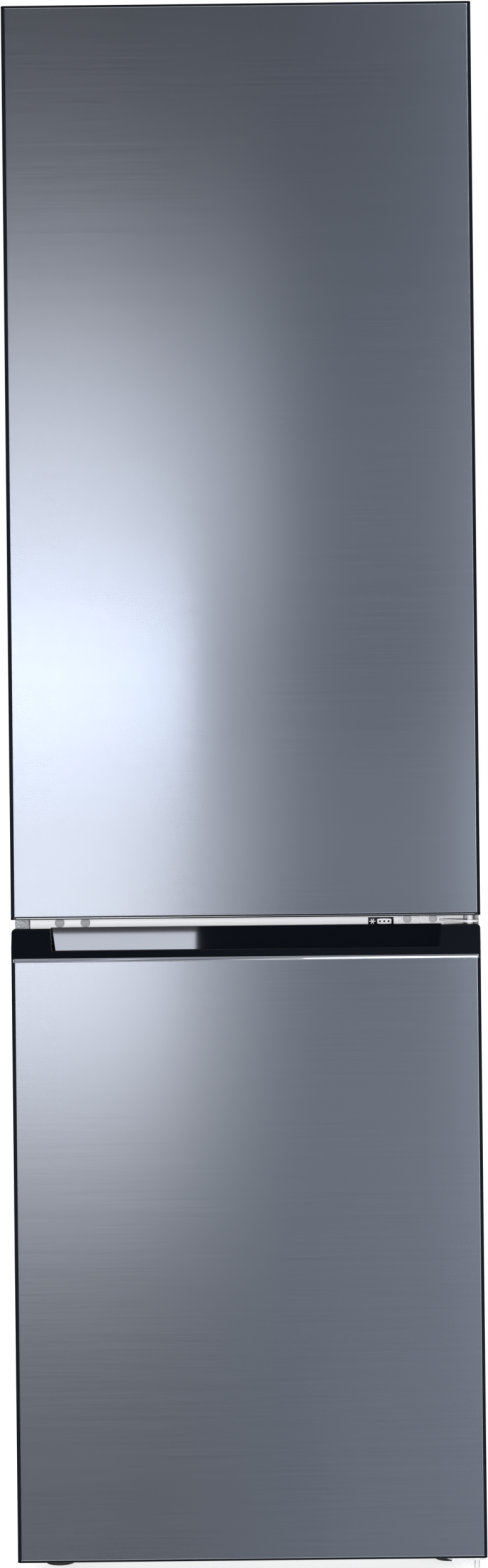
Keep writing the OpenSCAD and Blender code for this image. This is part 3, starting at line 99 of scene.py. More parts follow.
def edit(obj, mode="EDGE"):
    """Opens a mesh for editing with nothing selected."""
    activate(obj)
    bpy.ops.object.mode_set(mode="EDIT")
    bpy.ops.mesh.select_mode(type=mode)
    bpy.ops.mesh.select_all(action="DESELECT")
    bpy.ops.object.mode_set(mode="OBJECT")
    return obj.data


def pick_edges(obj, test):
    """Selects the edges whose two ends pass the test, and opens the mesh."""
    mesh = edit(obj, "EDGE")
    for e in mesh.edges:
        a, b = (mesh.vertices[i].co for i in e.vertices)
        e.select = bool(test(a, b))
    bpy.ops.object.mode_set(mode="EDIT")


def pick_faces(obj, test):
    """Selects the faces whose centre and normal pass the test, and opens the mesh."""
    mesh = edit(obj, "FACE")
    for p in mesh.polygons:
        p.select = bool(test(p.center, p.normal))
    bpy.ops.object.mode_set(mode="EDIT")


def leave_edit():
    bpy.ops.object.mode_set(mode="OBJECT")


def move_points(obj, test, shift):
    """Moves the points that pass the test."""
    mesh = edit(obj, "VERT")
    for v in mesh.vertices:
        v.select = bool(test(v.co))
    bpy.ops.object.mode_set(mode="EDIT")
    bpy.ops.transform.translate(value=shift)
    leave_edit()


def join(parts):
    """Joins objects into the first of them."""
    deselect()
    for part in parts:
        part.select_set(True)
    bpy.context.view_layer.objects.active = parts[0]
    bpy.ops.object.join()
    return parts[0]


def round_edges(obj, width, segments):
    """Rounds a piece's sharp edges."""
    return modify(obj, "BEVEL", width=width, segments=segments, limit_method="ANGLE", angle_limit=SHARP)


def cut(obj, cutter, operation="DIFFERENCE"):
    """Cuts a piece with another, which is then removed."""
    modify(obj, "BOOLEAN", object=cutter, operation=operation, solver="EXACT")
    bpy.data.objects.remove(cutter)


def finish_piece(obj, name, body, slot, material, *nodes):
    """Names a piece, gives it its material and body, and lets it stand for CAD nodes."""
    obj.name = name
    obj.data.name = name
    obj.data.materials.clear()
    obj.data.materials.append(material)
    if nodes:
        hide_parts(*nodes)
    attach(obj, body)
    return obj


def smooth(obj, angle=40):
    """Smooth shading that leaves flat faces flat."""
    activate(obj)
    bpy.ops.object.shade_smooth_by_angle(angle=math.radians(angle))
    modify(obj, "WEIGHTED_NORMAL", keep_sharp=True, weight=50)
    return obj


def copy_of(node):
    """A merged copy of a CAD node's mesh, as an object of its own."""
    source = frame["nodes"][node]
    obj = bpy.data.objects.new(node + "_copy", source.data.copy())
    bpy.context.scene.collection.objects.link(obj)
    activate(obj)
    if obj.data.has_custom_normals:
        bpy.ops.mesh.customdata_custom_splitnormals_clear()
    bpy.ops.object.mode_set(mode="EDIT")
    bpy.ops.mesh.select_mode(type="FACE")
    bpy.ops.mesh.select_all(action="SELECT")
    bpy.ops.mesh.remove_doubles(threshold=SAME_POINT)
    bpy.ops.mesh.dissolve_limited(angle_limit=math.radians(0.5))
    bpy.ops.object.mode_set(mode="OBJECT")
    return obj


def rounded_copy(node, width):
    """A copy of a CAD node with its sharp edges rounded, as moulded and pressed pieces have them."""
    obj = copy_of(node)
    if width:
        round_edges(obj, width, 2)
    return smooth(obj)


def cube(lo, hi):
    """A box between two corners, as a mesh at the origin."""
    lo, hi = Vector(lo), Vector(hi)
    bpy.ops.mesh.primitive_cube_add(size=1, location=(lo + hi) / 2)
    obj = bpy.context.object
    obj.scale = hi - lo
    return settle(obj)


# node groups shared by the materials

def new_group(name, inputs, outputs):
    """An empty shader group with float inputs (name, value) and outputs (name, kind)."""
    group = bpy.data.node_groups.new(name, "ShaderNodeTree")
    for label, value in inputs:
        socket = group.interface.new_socket(name=label, in_out="INPUT", socket_type="NodeSocketFloat")
        socket.default_value = value
    for label, kind in outputs:
        group.interface.new_socket(name=label, in_out="OUTPUT", socket_type=kind)
    return group


class Wires:
    """Adds nodes to one tree and links them."""

    def __init__(self, tree):
        self.tree = tree

    def add(self, kind, **values):
        node = self.tree.nodes.new(kind)
        for key, value in values.items():
            setattr(node, key, value)
        return node

    def link(self, a, b):
        self.tree.links.new(a, b)

    def math(self, operation, a, b):
        """A Math node of two terms, each a number or a socket."""
        node = self.add("ShaderNodeMath", operation=operation)
        for socket, term in zip(node.inputs, (a, b)):
            if isinstance(term, (int, float)):
                socket.default_value = term
            else:
                self.link(term, socket)
        return node.outputs[0]

    def spread(self, value, low, high):
        """Maps 0..1 to low..high."""
        node = self.add("ShaderNodeMapRange")
        self.link(value, node.inputs["Value"])
        node.inputs["To Min"].default_value = low
        node.inputs["To Max"].default_value = high
        return node.outputs["Result"]

    def tint(self, value, dark, light):
        """A colour between two, by a value from 0 to 1."""
        node = self.add("ShaderNodeMix", data_type="RGBA")
        self.link(value, node.inputs[0])
        node.inputs[6].default_value = (*dark, 1)
        node.inputs[7].default_value = (*light, 1)
        return node.outputs[2]

    def noise(self, vector, scale, detail=3.0, rough=0.6):
        node = self.add("ShaderNodeTexNoise")
        self.link(vector, node.inputs["Vector"])
        node.inputs["Scale"].default_value = scale
        node.inputs["Detail"].default_value = detail
        node.inputs["Roughness"].default_value = rough
        return node.outputs["Fac"]


def grain_group():
    """Horizontal brushing: fine and coarse scratches along X and Y, and slow clouding."""
    group = new_group("brushed_grain", [("Fine", 1400.0), ("Coarse", 260.0)],
                      [("Lines", "NodeSocketFloat"), ("Cloud", "NodeSocketFloat")])
    w = Wires(group)
    source = w.add("NodeGroupInput")
    sink = w.add("NodeGroupOutput")
    place = w.add("ShaderNodeTexCoord")
    parts = w.add("ShaderNodeSeparateXYZ")
    w.link(place.outputs["Object"], parts.inputs[0])
    terms = []
    for label, stretch in (("Fine", 9.0), ("Coarse", 3.0)):
        drawn = w.add("ShaderNodeCombineXYZ")
        w.link(w.math("MULTIPLY", parts.outputs["X"], stretch), drawn.inputs["X"])
        w.link(w.math("MULTIPLY", parts.outputs["Y"], stretch), drawn.inputs["Y"])
        w.link(w.math("MULTIPLY", parts.outputs["Z"], source.outputs[label]), drawn.inputs["Z"])
        terms.append(w.noise(drawn.outputs[0], 1.0, 2.0, 0.55))
    lines = w.math("ADD", w.math("MULTIPLY", terms[0], 0.6), w.math("MULTIPLY", terms[1], 0.4))
    w.link(lines, sink.inputs["Lines"])
    w.link(w.noise(place.outputs["Object"], 2.3, 2.0), sink.inputs["Cloud"])
    return group


def moulded_group():
    """Fine grain and slow unevenness of a moulded or painted surface."""
    group = new_group("moulded_grain", [("Scale", 900.0)],
                      [("Grain", "NodeSocketFloat"), ("Cloud", "NodeSocketFloat")])
    w = Wires(group)
    source = w.add("NodeGroupInput")
    sink = w.add("NodeGroupOutput")
    place = w.add("ShaderNodeTexCoord")
    noise = w.add("ShaderNodeTexNoise")
    w.link(place.outputs["Object"], noise.inputs["Vector"])
    w.link(source.outputs["Scale"], noise.inputs["Scale"])
    noise.inputs["Detail"].default_value = 2.0
    w.link(noise.outputs["Fac"], sink.inputs["Grain"])
    w.link(w.noise(place.outputs["Object"], 7.0, 3.0), sink.inputs["Cloud"])
    return group


def stucco_group():
    """Embossed sheet: small raised pads with flat tops, as on appliance cabinets."""
    group = new_group("embossed_sheet", [("Scale", 420.0)], [("Height", "NodeSocketFloat")])
    w = Wires(group)
    source = w.add("NodeGroupInput")
    sink = w.add("NodeGroupOutput")
    place = w.add("ShaderNodeTexCoord")
    wobble = w.noise(place.outputs["Object"], 300.0, 1.0)
    cells = w.add("ShaderNodeTexVoronoi", feature="DISTANCE_TO_EDGE")
    moved = w.add("ShaderNodeVectorMath", operation="ADD")
    spread = w.add("ShaderNodeVectorMath", operation="SCALE")
    lift = w.add("ShaderNodeCombineXYZ")
    for i in range(3):
        w.link(wobble, lift.inputs[i])
    w.link(lift.outputs[0], spread.inputs[0])
    spread.inputs["Scale"].default_value = 0.0012
    w.link(place.outputs["Object"], moved.inputs[0])
    w.link(spread.outputs[0], moved.inputs[1])
    w.link(moved.outputs[0], cells.inputs["Vector"])
    w.link(source.outputs["Scale"], cells.inputs["Scale"])
    ramp = w.add("ShaderNodeMapRange", interpolation_type="SMOOTHSTEP")
    w.link(cells.outputs["Distance"], ramp.inputs["Value"])
    ramp.inputs["From Max"].default_value = 0.28
    w.link(ramp.outputs["Result"], sink.inputs["Height"])
    return group


GRAIN = grain_group()
MOULDED = moulded_group()
STUCCO = stucco_group()


def new_material(name):
    """A material with a Principled shader; returns it with its wires and shader."""
    mat = bpy.data.materials.new(name)
    mat.use_nodes = True
    mat.node_tree.nodes.clear()
    w = Wires(mat.node_tree)
    out = w.add("ShaderNodeOutputMaterial")
    shader = w.add("ShaderNodeBsdfPrincipled")
    w.link(shader.outputs[0], out.inputs["Surface"])
    return mat, w, shader


def placed(w, group, **values):
    """Places a shared group in a material with its own values."""
    node = w.add("ShaderNodeGroup")
    node.node_tree = group
    for key, value in values.items():
        node.inputs[key].default_value = value
    return node


def bump(w, shader, height, distance, strength=1.0):
    """Feeds a height into the shader's normal, its depth in metres."""
    node = w.add("ShaderNodeBump")
    node.inputs["Distance"].default_value = distance
    node.inputs["Strength"].default_value = strength
    w.link(height, node.inputs["Height"])
    w.link(node.outputs[0], shader.inputs["Normal"])


def brushed_steel():
    """Dark stainless sheet, brushed from side to side."""
    mat, w, shader = new_material("brushed_door_steel")
    grain = placed(w, GRAIN)
    shade = w.math("ADD", w.math("MULTIPLY", grain.outputs["Lines"], 0.7),
                   w.math("MULTIPLY", grain.outputs["Cloud"], 0.3))
    w.link(w.tint(shade, (0.455, 0.492, 0.545), (0.585, 0.628, 0.695)), shader.inputs["Base Color"])
    w.link(w.spread(grain.outputs["Lines"], 0.12, 0.155), shader.inputs["Roughness"])
    shader.inputs["Metallic"].default_value = 1.0
    shader.inputs["Anisotropic"].default_value = 0.9
    shader.inputs["Anisotropic Rotation"].default_value = 0.25
    tangent = w.add("ShaderNodeTangent", direction_type="RADIAL", axis="Z")
    w.link(tangent.outputs[0], shader.inputs["Tangent"])
    bump(w, shader, grain.outputs["Lines"], 0.0000015, 0.5)
    return mat


def painted_sheet(name, dark, light, rough, relief=0.0):
    """Painted steel sheet, embossed if relief is above zero."""
    mat, w, shader = new_material(name)
    soft = placed(w, MOULDED, Scale=500.0)
    shade = soft.outputs["Cloud"]
    if relief:
        sheet = placed(w, STUCCO)
        shade = sheet.outputs["Height"]
    w.link(w.tint(shade, dark, light), shader.inputs["Base Color"])
    w.link(w.spread(soft.outputs["Cloud"], rough * 0.85, rough * 1.15), shader.inputs["Roughness"])
    shader.inputs["Metallic"].default_value = 0.25
    if relief:
        bump(w, shader, sheet.outputs["Height"], relief)
    else:
        bump(w, shader, soft.outputs["Grain"], 0.00001, 0.4)
    return mat


def moulded(name, dark, light, rough, grain=0.000008, ior=1.5):
    """Opaque moulded plastic or rubber."""
    mat, w, shader = new_material(name)
    soft = placed(w, MOULDED)
    w.link(w.tint(soft.outputs["Cloud"], dark, light), shader.inputs["Base Color"])
    w.link(w.spread(soft.outputs["Cloud"], rough * 0.85, rough * 1.15), shader.inputs["Roughness"])
    shader.inputs["IOR"].default_value = ior
    bump(w, shader, soft.outputs["Grain"], grain, 0.5)
    return mat


def plated(name, dark, light, rough, metallic=1.0, grain=0.000006):
    """Zinc, chrome, copper or bare aluminium."""
    mat, w, shader = new_material(name)
    soft = placed(w, MOULDED, Scale=350.0)
    mixed = w.math("ADD", w.math("MULTIPLY", soft.outputs["Grain"], 0.5),
                   w.math("MULTIPLY", soft.outputs["Cloud"], 0.5))
    w.link(w.tint(mixed, dark, light), shader.inputs["Base Color"])
    w.link(w.spread(mixed, rough * 0.7, rough * 1.3), shader.inputs["Roughness"])
    shader.inputs["Metallic"].default_value = metallic
    bump(w, shader, soft.outputs["Grain"], grain, 0.4)
    return mat


def galvanised():
    """Zinc-dipped sheet with a fine bright speckle."""
    mat, w, shader = new_material("bright_zinc")
    fine = placed(w, MOULDED, Scale=1100.0)
    speckle = w.add("ShaderNodeMapRange")
    w.link(fine.outputs["Grain"], speckle.inputs["Value"])
    speckle.inputs["From Min"].default_value = 0.3
    speckle.inputs["From Max"].default_value = 0.62
    tint = w.tint(speckle.outputs["Result"], (0.60, 0.61, 0.63), (0.93, 0.93, 0.95))
    w.link(tint, shader.inputs["Base Color"])
    w.link(w.spread(fine.outputs["Cloud"], 0.28, 0.42), shader.inputs["Roughness"])
    shader.inputs["Metallic"].default_value = 0.1
    bump(w, shader, fine.outputs["Grain"], 0.00002, 0.5)
    return mat


def clear(name, colour, rough, ior, weight=1.0, frost=0.0):
    """Glass or clear plastic, seen through without being solved as a lens."""
    mat, w, shader = new_material(name)
    soft = placed(w, MOULDED, Scale=300.0)
    shader.inputs["Base Color"].default_value = (*colour, 1)
    w.link(w.spread(soft.outputs["Cloud"], rough * 0.6, rough * 1.4 + frost), shader.inputs["Roughness"])
    shader.inputs["IOR"].default_value = ior
    shader.inputs["Transmission Weight"].default_value = weight
    bump(w, shader, soft.outputs["Cloud"], 0.00002, 0.2)
    return mat


def foam():
    """Cut polyurethane foam with open cells."""
    mat, w, shader = new_material("wall_foam")
    soft = placed(w, MOULDED, Scale=700.0)
    tint = w.tint(soft.outputs["Grain"], (0.60, 0.50, 0.28), (0.86, 0.76, 0.50))
    w.link(tint, shader.inputs["Base Color"])
    shader.inputs["Roughness"].default_value = 0.9
    bump(w, shader, soft.outputs["Grain"], 0.0004)
    return mat


MATERIALS = {
    "steel_skin": brushed_steel(),
    "cabinet_paint": painted_sheet("silver_cabinet_paint", (0.33, 0.35, 0.38), (0.70, 0.72, 0.75),
                                   0.34, relief=0.00022),
    "base_steel": painted_sheet("grey_base_paint", (0.40, 0.41, 0.43), (0.50, 0.51, 0.53), 0.5),
    "rail_white": painted_sheet("white_rail_paint", (0.93, 0.94, 0.96), (0.97, 0.975, 0.98), 0.25),
    "compressor_black": painted_sheet("black_pot_paint", (0.012, 0.012, 0.013), (0.03, 0.03, 0.032), 0.35),
    "bright_zinc": galvanised(),
    "trim_steel": plated("polished_trim", (0.70, 0.73, 0.78), (0.80, 0.83, 0.87), 0.025, grain=0.0000002),
    "pin_steel": plated("ground_pin_steel", (0.55, 0.55, 0.57), (0.70, 0.70, 0.72), 0.22),
    "screw_zinc": plated("dull_screw_zinc", (0.40, 0.41, 0.43), (0.62, 0.63, 0.65), 0.3, metallic=0.3),
    "copper": plated("drawn_copper", (0.62, 0.30, 0.17), (0.86, 0.50, 0.33), 0.28),
    "aluminium": plated("fin_aluminium", (0.70, 0.71, 0.73), (0.85, 0.86, 0.87), 0.35),
    "liner_white": moulded("white_liner_plastic", (0.60, 0.61, 0.63), (0.66, 0.67, 0.69), 0.22),
    "plug_grey": moulded("grey_plug_plastic", (0.31, 0.32, 0.34), (0.37, 0.38, 0.40), 0.22),
    "cap_black": moulded("gloss_black_plastic", (0.002, 0.003, 0.005), (0.003, 0.004, 0.007),
                         0.02, grain=0.0000003, ior=1.6),
    "cover_grey": moulded("dark_cover_plastic", (0.025, 0.027, 0.03), (0.04, 0.042, 0.045), 0.45),
    "black_plastic": moulded("matt_black_plastic", (0.012, 0.012, 0.013), (0.022, 0.022, 0.024), 0.5),
    "grommet_rubber": moulded("mounting_rubber", (0.015, 0.015, 0.015), (0.03, 0.03, 0.03), 0.75),
    "pan_grey": moulded("pan_plastic", (0.13, 0.135, 0.15), (0.19, 0.195, 0.21), 0.45),
    "gasket_grey": moulded("seal_rubber", (0.30, 0.31, 0.33), (0.38, 0.39, 0.41), 0.55),
    "button_grey": moulded("button_plastic", (0.48, 0.49, 0.51), (0.56, 0.57, 0.59), 0.3),
    "fan_white": moulded("fan_plastic", (0.70, 0.71, 0.72), (0.78, 0.79, 0.80), 0.4),
    "lamp": moulded("lamp_diffuser", (0.90, 0.90, 0.86), (0.97, 0.97, 0.94), 0.35),
    "shelf_glass": clear("shelf_glass", (0.90, 0.97, 0.95), 0.02, 1.45),
    "clear_plastic": clear("clear_box_plastic", (0.90, 0.95, 0.98), 0.06, 1.35, weight=0.92, frost=0.06),
    "foam": foam(),
}

NODE_SLOT = {s["node"]: s["material_slot"] for s in frame["record"]["subparts"]}
NODE_BODY = {n: b for b, names in frame["record"]["behaviour"]["bodies"].items() for n in names}

# rounding of the edges of each node that keeps its own shape, in millimetres
ROUNDING = {
    "cabinet_shell": 0.4, "rear_panel": 0.5, "base_plate": 0.4, "cabinet_insulation": 0,
    "fridge_liner": 1.6, "freezer_liner": 1.6, "mullion_rail": 0.8, "hinge_hole_caps": 0.6,
    "top_hinge": 0.4, "top_hinge_cover": 1.0, "middle_hinge": 0.4, "bottom_hinge": 0.4,
    "hinge_screws": 0.25, "foot_brackets": 1.0, "front_foot_left": 0.4, "front_foot_right": 0.4,
    "compressor_tray": 0.6, "roller_axles": 0.3, "rear_roller_left": 0.4, "rear_roller_right": 0.4,
    "compressor": 0.6, "compressor_grommets": 0.4, "relay_box": 1.0, "drain_pan": 0.6,
    "refrigerant_pipes": 0.3, "rear_spacers": 0.5, "power_inlet": 0.8,
    "glass_shelves": 0.4, "shelf_trims": 0.5, "air_duct_cover": 0.8, "control_panel": 1.0,
    "lamp_lens": 0.5, "button_left": 0.8, "button_right": 0.8, "crisper_left": 0.7, "crisper_right": 0.7,
    "evaporator_cover": 0.6, "evaporator": 0, "fan_shroud": 0.4, "fan_motor": 0.6, "fan_rotor": 0.3,
    "freezer_drawer_lower": 0.8, "freezer_drawer_middle": 0.8, "freezer_drawer_upper": 0.8,
    "fridge_door_insulation": 0, "fridge_door_liner": 1.4, "fridge_door_gasket": 0.5,
    "fridge_door_top_cap": 0.5, "fridge_door_bushes": 0.3, "door_bins": 0.7,
    "freezer_door_insulation": 0, "freezer_door_liner": 1.4, "freezer_door_gasket": 0.5,
    "freezer_door_trim": 0.25, "freezer_door_base_cap": 0.5,
    "freezer_door_bushes": 0.3,
}


# nodes that wear another material than their slot's
LOOKS = {"hinge_screws": "screw_zinc"}

# how far the heads on the rail move down, how near the lip they are, and the width of a shank's root
HEAD_DROP = {"hinge_hole_caps": 3.4 * MM, "hinge_screws": 2.8 * MM}
HEAD_REACH = 15 * MM
ROOT_R = 3.2 * MM
ROOT_T = 0.3 * MM
SEAT_T = 0.05 * MM

# how much shorter the rail is at each end, and how near an end its points are
RAIL_INSET = 0.8 * MM
RAIL_END = 2 * MM


def drop_heads(obj, drop):
    """Lowers the heads on the rail, which the upper door's lip would half hide; their shanks stay."""
    near = [v.co.copy() for v in obj.data.vertices if abs(v.co.z - LIP_LO.z) < HEAD_REACH]
    z_lo, z_hi = min(c.z for c in near), max(c.z for c in near)
    z, radius = (z_lo + z_hi) / 2, (z_hi - z_lo) / 2
    axes = (min(c.x for c in near) + radius, max(c.x for c in near) - radius)
    seat_y = max(c.y for c in near if abs(c.z - z) > 0.9 * radius)

    def in_head(c):
        off_axis = min(math.hypot(c.x - x, c.z - z) for x in axes)
        root = off_axis < ROOT_R and c.y > seat_y - ROOT_T
        return off_axis < 1.1 * radius and c.y < seat_y + SEAT_T and not root

    move_points(obj, in_head, (0, 0, -drop))


def shorten_rail(obj):
    """Draws in both ends of the rail, for the black sealing strips beside them, whose black also paints in
    the joints' shade.
    """
    for side in (-1, 1):
        move_points(obj, lambda c: c.x * side > RAIL_HI.x - RAIL_END, (-side * RAIL_INSET, 0, 0))


def dress(node, width):
    """Dresses one node: a copy with rounded edges, in its slot's material or its own."""
    slot = NODE_SLOT[node]
    obj = rounded_copy(node, width * MM)
    if node == "freezer_door_trim":
        activate(obj)
        bpy.ops.object.shade_flat()
    if node in HEAD_DROP:
        drop_heads(obj, HEAD_DROP[node])
    if node == "mullion_rail":
        shorten_rail(obj)
    look = MATERIALS[LOOKS.get(node, slot)]
    return finish_piece(obj, "dressed_" + node, NODE_BODY[node], slot, look, node)


def add_camera():
    """The photograph's view: square on, a little right of the middle, and slightly rolled."""
    data = bpy.data.cameras.new("camera")
    camera = bpy.data.objects.new("camera", data)
    bpy.context.scene.collection.objects.link(camera)
    long_side = PX * PHOTO_H
    data.sensor_width = SENSOR_W
    data.lens = VIEW_DISTANCE / long_side * SENSOR_W
    offset = Matrix.Rotation(-ROLL, 2) @ (FRAME_CENTRE - Vector((CAMERA_X, CAMERA_Z)))
    data.shift_x = offset.x / long_side
    data.shift_y = offset.y / long_side
    data.clip_end = 100
    turn = Matrix.Rotation(math.pi / 2, 4, "X") @ Matrix.Rotation(ROLL, 4, "Z")
    camera.matrix_world = Matrix.Translation((CAMERA_X, DOOR_LO.y - VIEW_DISTANCE, CAMERA_Z)) @ turn
    bpy.context.scene.camera = camera


def seen_ray(w):
    """1 on a ray from the camera, off a shiny face or through a clear pane, and 0 for scattered light."""
    path = w.add("ShaderNodeLightPath")
    first = w.math("MAXIMUM", path.outputs["Is Camera Ray"], path.outputs["Is Glossy Ray"])
    return w.math("MAXIMUM", first, path.outputs["Is Transmission Ray"])


# the world's level on the object, and the floor's own glow where it is seen
WORLD_LEVEL = 0.6
FLOOR_LIFT = 0.7


def light_world():
    """An even white world that shows as plain white behind the object."""
    world = bpy.data.worlds.new("studio")
    bpy.context.scene.world = world
    world.use_nodes = True
    world.node_tree.nodes.clear()
    w = Wires(world.node_tree)
    out = w.add("ShaderNodeOutputWorld")
    back = w.add("ShaderNodeBackground")
    back.inputs["Color"].default_value = (1, 1, 1, 1)
    level = w.math("MULTIPLY_ADD", seen_ray(w), 1 - WORLD_LEVEL)
    level.node.inputs[2].default_value = WORLD_LEVEL
    w.link(level, back.inputs["Strength"])
    w.link(back.outputs[0], out.inputs["Surface"])


def floor_material():
    """Pale floor that keeps the object's shadow and meets the white behind it."""
    mat, w, shader = new_material("studio_floor")
    soft = placed(w, MOULDED, Scale=60.0)
    tint = w.tint(soft.outputs["Grain"], (0.89, 0.89, 0.90), (0.93, 0.93, 0.93))
    w.link(tint, shader.inputs["Base Color"])
    shader.inputs["Roughness"].default_value = 0.8
    shader.inputs["Emission Color"].default_value = (1, 1, 1, 1)
    w.link(w.math("MULTIPLY", seen_ray(w), FLOOR_LIFT), shader.inputs["Emission Strength"])
    return mat


def ramp_of(w, value, low, high, stops):
    """A smooth level along a distance: stops of (distance, level) between low and high."""
    ramp = w.add("ShaderNodeValToRGB")
    ramp.color_ramp.interpolation = "B_SPLINE"
    span = w.add("ShaderNodeMapRange")
    w.link(value, span.inputs["Value"])
    span.inputs["From Min"].default_value = low
    span.inputs["From Max"].default_value = high
    w.link(span.outputs["Result"], ramp.inputs[0])
    while len(ramp.color_ramp.elements) < len(stops):
        ramp.color_ramp.elements.new(0.5)
    top = max(level for place, level in stops)
    for stop, (place, level) in zip(ramp.color_ramp.elements, stops):
        stop.position = (place - low) / (high - low)
        stop.color = (level / top, level / top, level / top, 1)
    return w.math("MULTIPLY", ramp.outputs[0], top)


def board_material(name, *lights):
    """Studio board that gives off a sum of lights: each a colour, its levels up the board and across it."""
    mat = bpy.data.materials.new(name)
    mat.use_nodes = True
    mat.node_tree.nodes.clear()
    w = Wires(mat.node_tree)
    out = w.add("ShaderNodeOutputMaterial")
    place = w.add("ShaderNodeTexCoord")
    parts = w.add("ShaderNodeSeparateXYZ")
    w.link(place.outputs["Object"], parts.inputs[0])
    total = None
    for colour, up, across in lights:
        glow = w.add("ShaderNodeEmission")
        glow.inputs["Color"].default_value = (*colour, 1)
        if up:
            level = ramp_of(w, parts.outputs["Z"], up[0][0], up[-1][0], up)
            if across:
                side = ramp_of(w, parts.outputs["X"], across[0][0], across[-1][0], across)
                level = w.math("MULTIPLY", level, side)
            w.link(level, glow.inputs["Strength"])
        if total:
            both = w.add("ShaderNodeAddShader")
            w.link(total, both.inputs[0])
            w.link(glow.outputs[0], both.inputs[1])
            total = both.outputs[0]
        else:
            total = glow.outputs[0]
    w.link(total, out.inputs["Surface"])
    return mat


def board(name, lo, hi, material):
    """A studio board that only reflections show."""
    obj = cube(lo, hi)
    obj.name = name
    obj.data.materials.append(material)
    obj.visible_camera = False
    obj.visible_diffuse = False
    obj.visible_transmission = False
    obj.visible_volume_scatter = False
    obj.visible_shadow = False
    return obj


# the studio's board: its distance in front of the doors, its half width, and its lower and upper edge
BOARD_Y = -6.5
SIDE_EDGE = 6.0
LOW_EDGE = -3.0
HIGH_EDGE = 6.0
THIN = MM

# lights on the board: a colour, levels at heights up the board, and levels across it
ROOM_LIGHTS = (
    # dim room, brighter on its right half
    ((0.94, 1.0, 1.17),
     [(LOW_EDGE, 0.21), (-1.0, 0.20), (0.0, 0.20), (0.5, 0.21), (1.2, 0.225), (2.0, 0.17), (3.0, 0.105),
      (HIGH_EDGE, 0.07)],
     [(-SIDE_EDGE, 0.18), (-0.5, 0.26), (0.0, 0.95), (0.3, 1.05), (SIDE_EDGE, 1.05)]),
    # tall soft panel on the left, in two parts with a dark bar between them
    ((1.0, 0.97, 0.985),
     [(LOW_EDGE, 0.08), (-1.2, 0.05), (-0.6, 0.0), (-0.3, 0.14), (0.0, 1.2), (0.22, 2.1), (0.55, 1.36),
      (1.1, 0.0), (1.65, 1.45), (1.95, 1.2), (2.3, 0.06), (2.55, 0.0), (HIGH_EDGE, 0.0)],
     [(-SIDE_EDGE, 0.9), (-1.4, 1.0), (-0.7, 1.0), (-0.5, 0.9), (-0.27, 0.4), (-0.05, 0.03), (0.15, 0.0),
      (SIDE_EDGE, 0.0)]),
    # narrow glow that the doors show along their right edge
    ((0.98, 1.0, 1.08),
     [(LOW_EDGE, 0.0), (-1.3, 0.01), (-0.62, 0.12), (0.14, 0.15), (0.5, 0.52), (0.9, 0.4), (1.47, 0.2),
      (1.94, 0.06), (3.1, 0.01), (HIGH_EDGE, 0.0)],
     [(-SIDE_EDGE, 0.0), (0.44, 0.0), (0.49, 0.35), (0.54, 1.0), (0.62, 1.2), (0.75, 0.0),
      (SIDE_EDGE, 0.0)]),
    # strip that the folds of the right edge show
    ((0.95, 0.98, 1.0),
     [(LOW_EDGE, 0.1), (-1.3, 0.15), (-0.5, 1.0), (0.52, 1.5), (1.1, 0.8), (1.9, 0.3), (2.9, 0.05),
      (HIGH_EDGE, 0.0)],
     [(-SIDE_EDGE, 0.0), (2.3, 0.0), (2.5, 1.0), (3.6, 1.0), (3.8, 0.0), (SIDE_EDGE, 0.0)]),
    # soft band beside the panel, where its light fades
    ((0.98, 0.99, 1.05),
     [(LOW_EDGE, 0.0), (0.5, 0.0), (0.9, 0.3), (1.2, 0.8), (1.5, 0.6), (1.8, 0.25), (2.1, 0.3), (2.3, 0.1),
      (2.5, 0.0), (HIGH_EDGE, 0.0)],
     [(-SIDE_EDGE, 0.0), (-0.4, 0.0), (-0.22, 1.0), (-0.08, 0.5), (0.06, 0.1), (0.3, 0.0),
      (SIDE_EDGE, 0.0)]),
)

# plain boards in front of it: name, look, left and right, lower and upper edge, and place before the board
PLAIN_BOARDS = (
    ("bright_window", "bright_window", (-1.5, -0.315), (1.1, 1.19), 0.06),
    ("trim_flag", "dark_flag", (-0.36, 1.3), (0.22, 0.36), 0.03),
    ("recess_flag", "dark_flag", (-0.31, 1.4), (1.02, 1.27), 0.03),
    ("high_lamp", "bright_panel", (0.8, 3.6), (4.4, 5.8), 0.04),
)
PLAIN_LOOKS = {"bright_window": (9.2, 9.8, 11.2), "dark_flag": (0.02, 0.022, 0.028),
               "bright_panel": (14.0, 14.6, 15.4)}

# side flags: their places left and right, how far they stand before the board, and where they end
SIDE_FLAGS = (("left_flag", -2.4), ("right_flag", 4.0))
SIDE_FLAG_STEP = 0.02
SIDE_FLAG_T = 0.01
SIDE_FLAG_END = 14.0

FLOOR_SIZE = 60
SUN_LEVEL = 2.6
SUN_SIZE = math.radians(6)
SUN_TURN = (math.radians(90 - 4), 0, math.radians(-8))


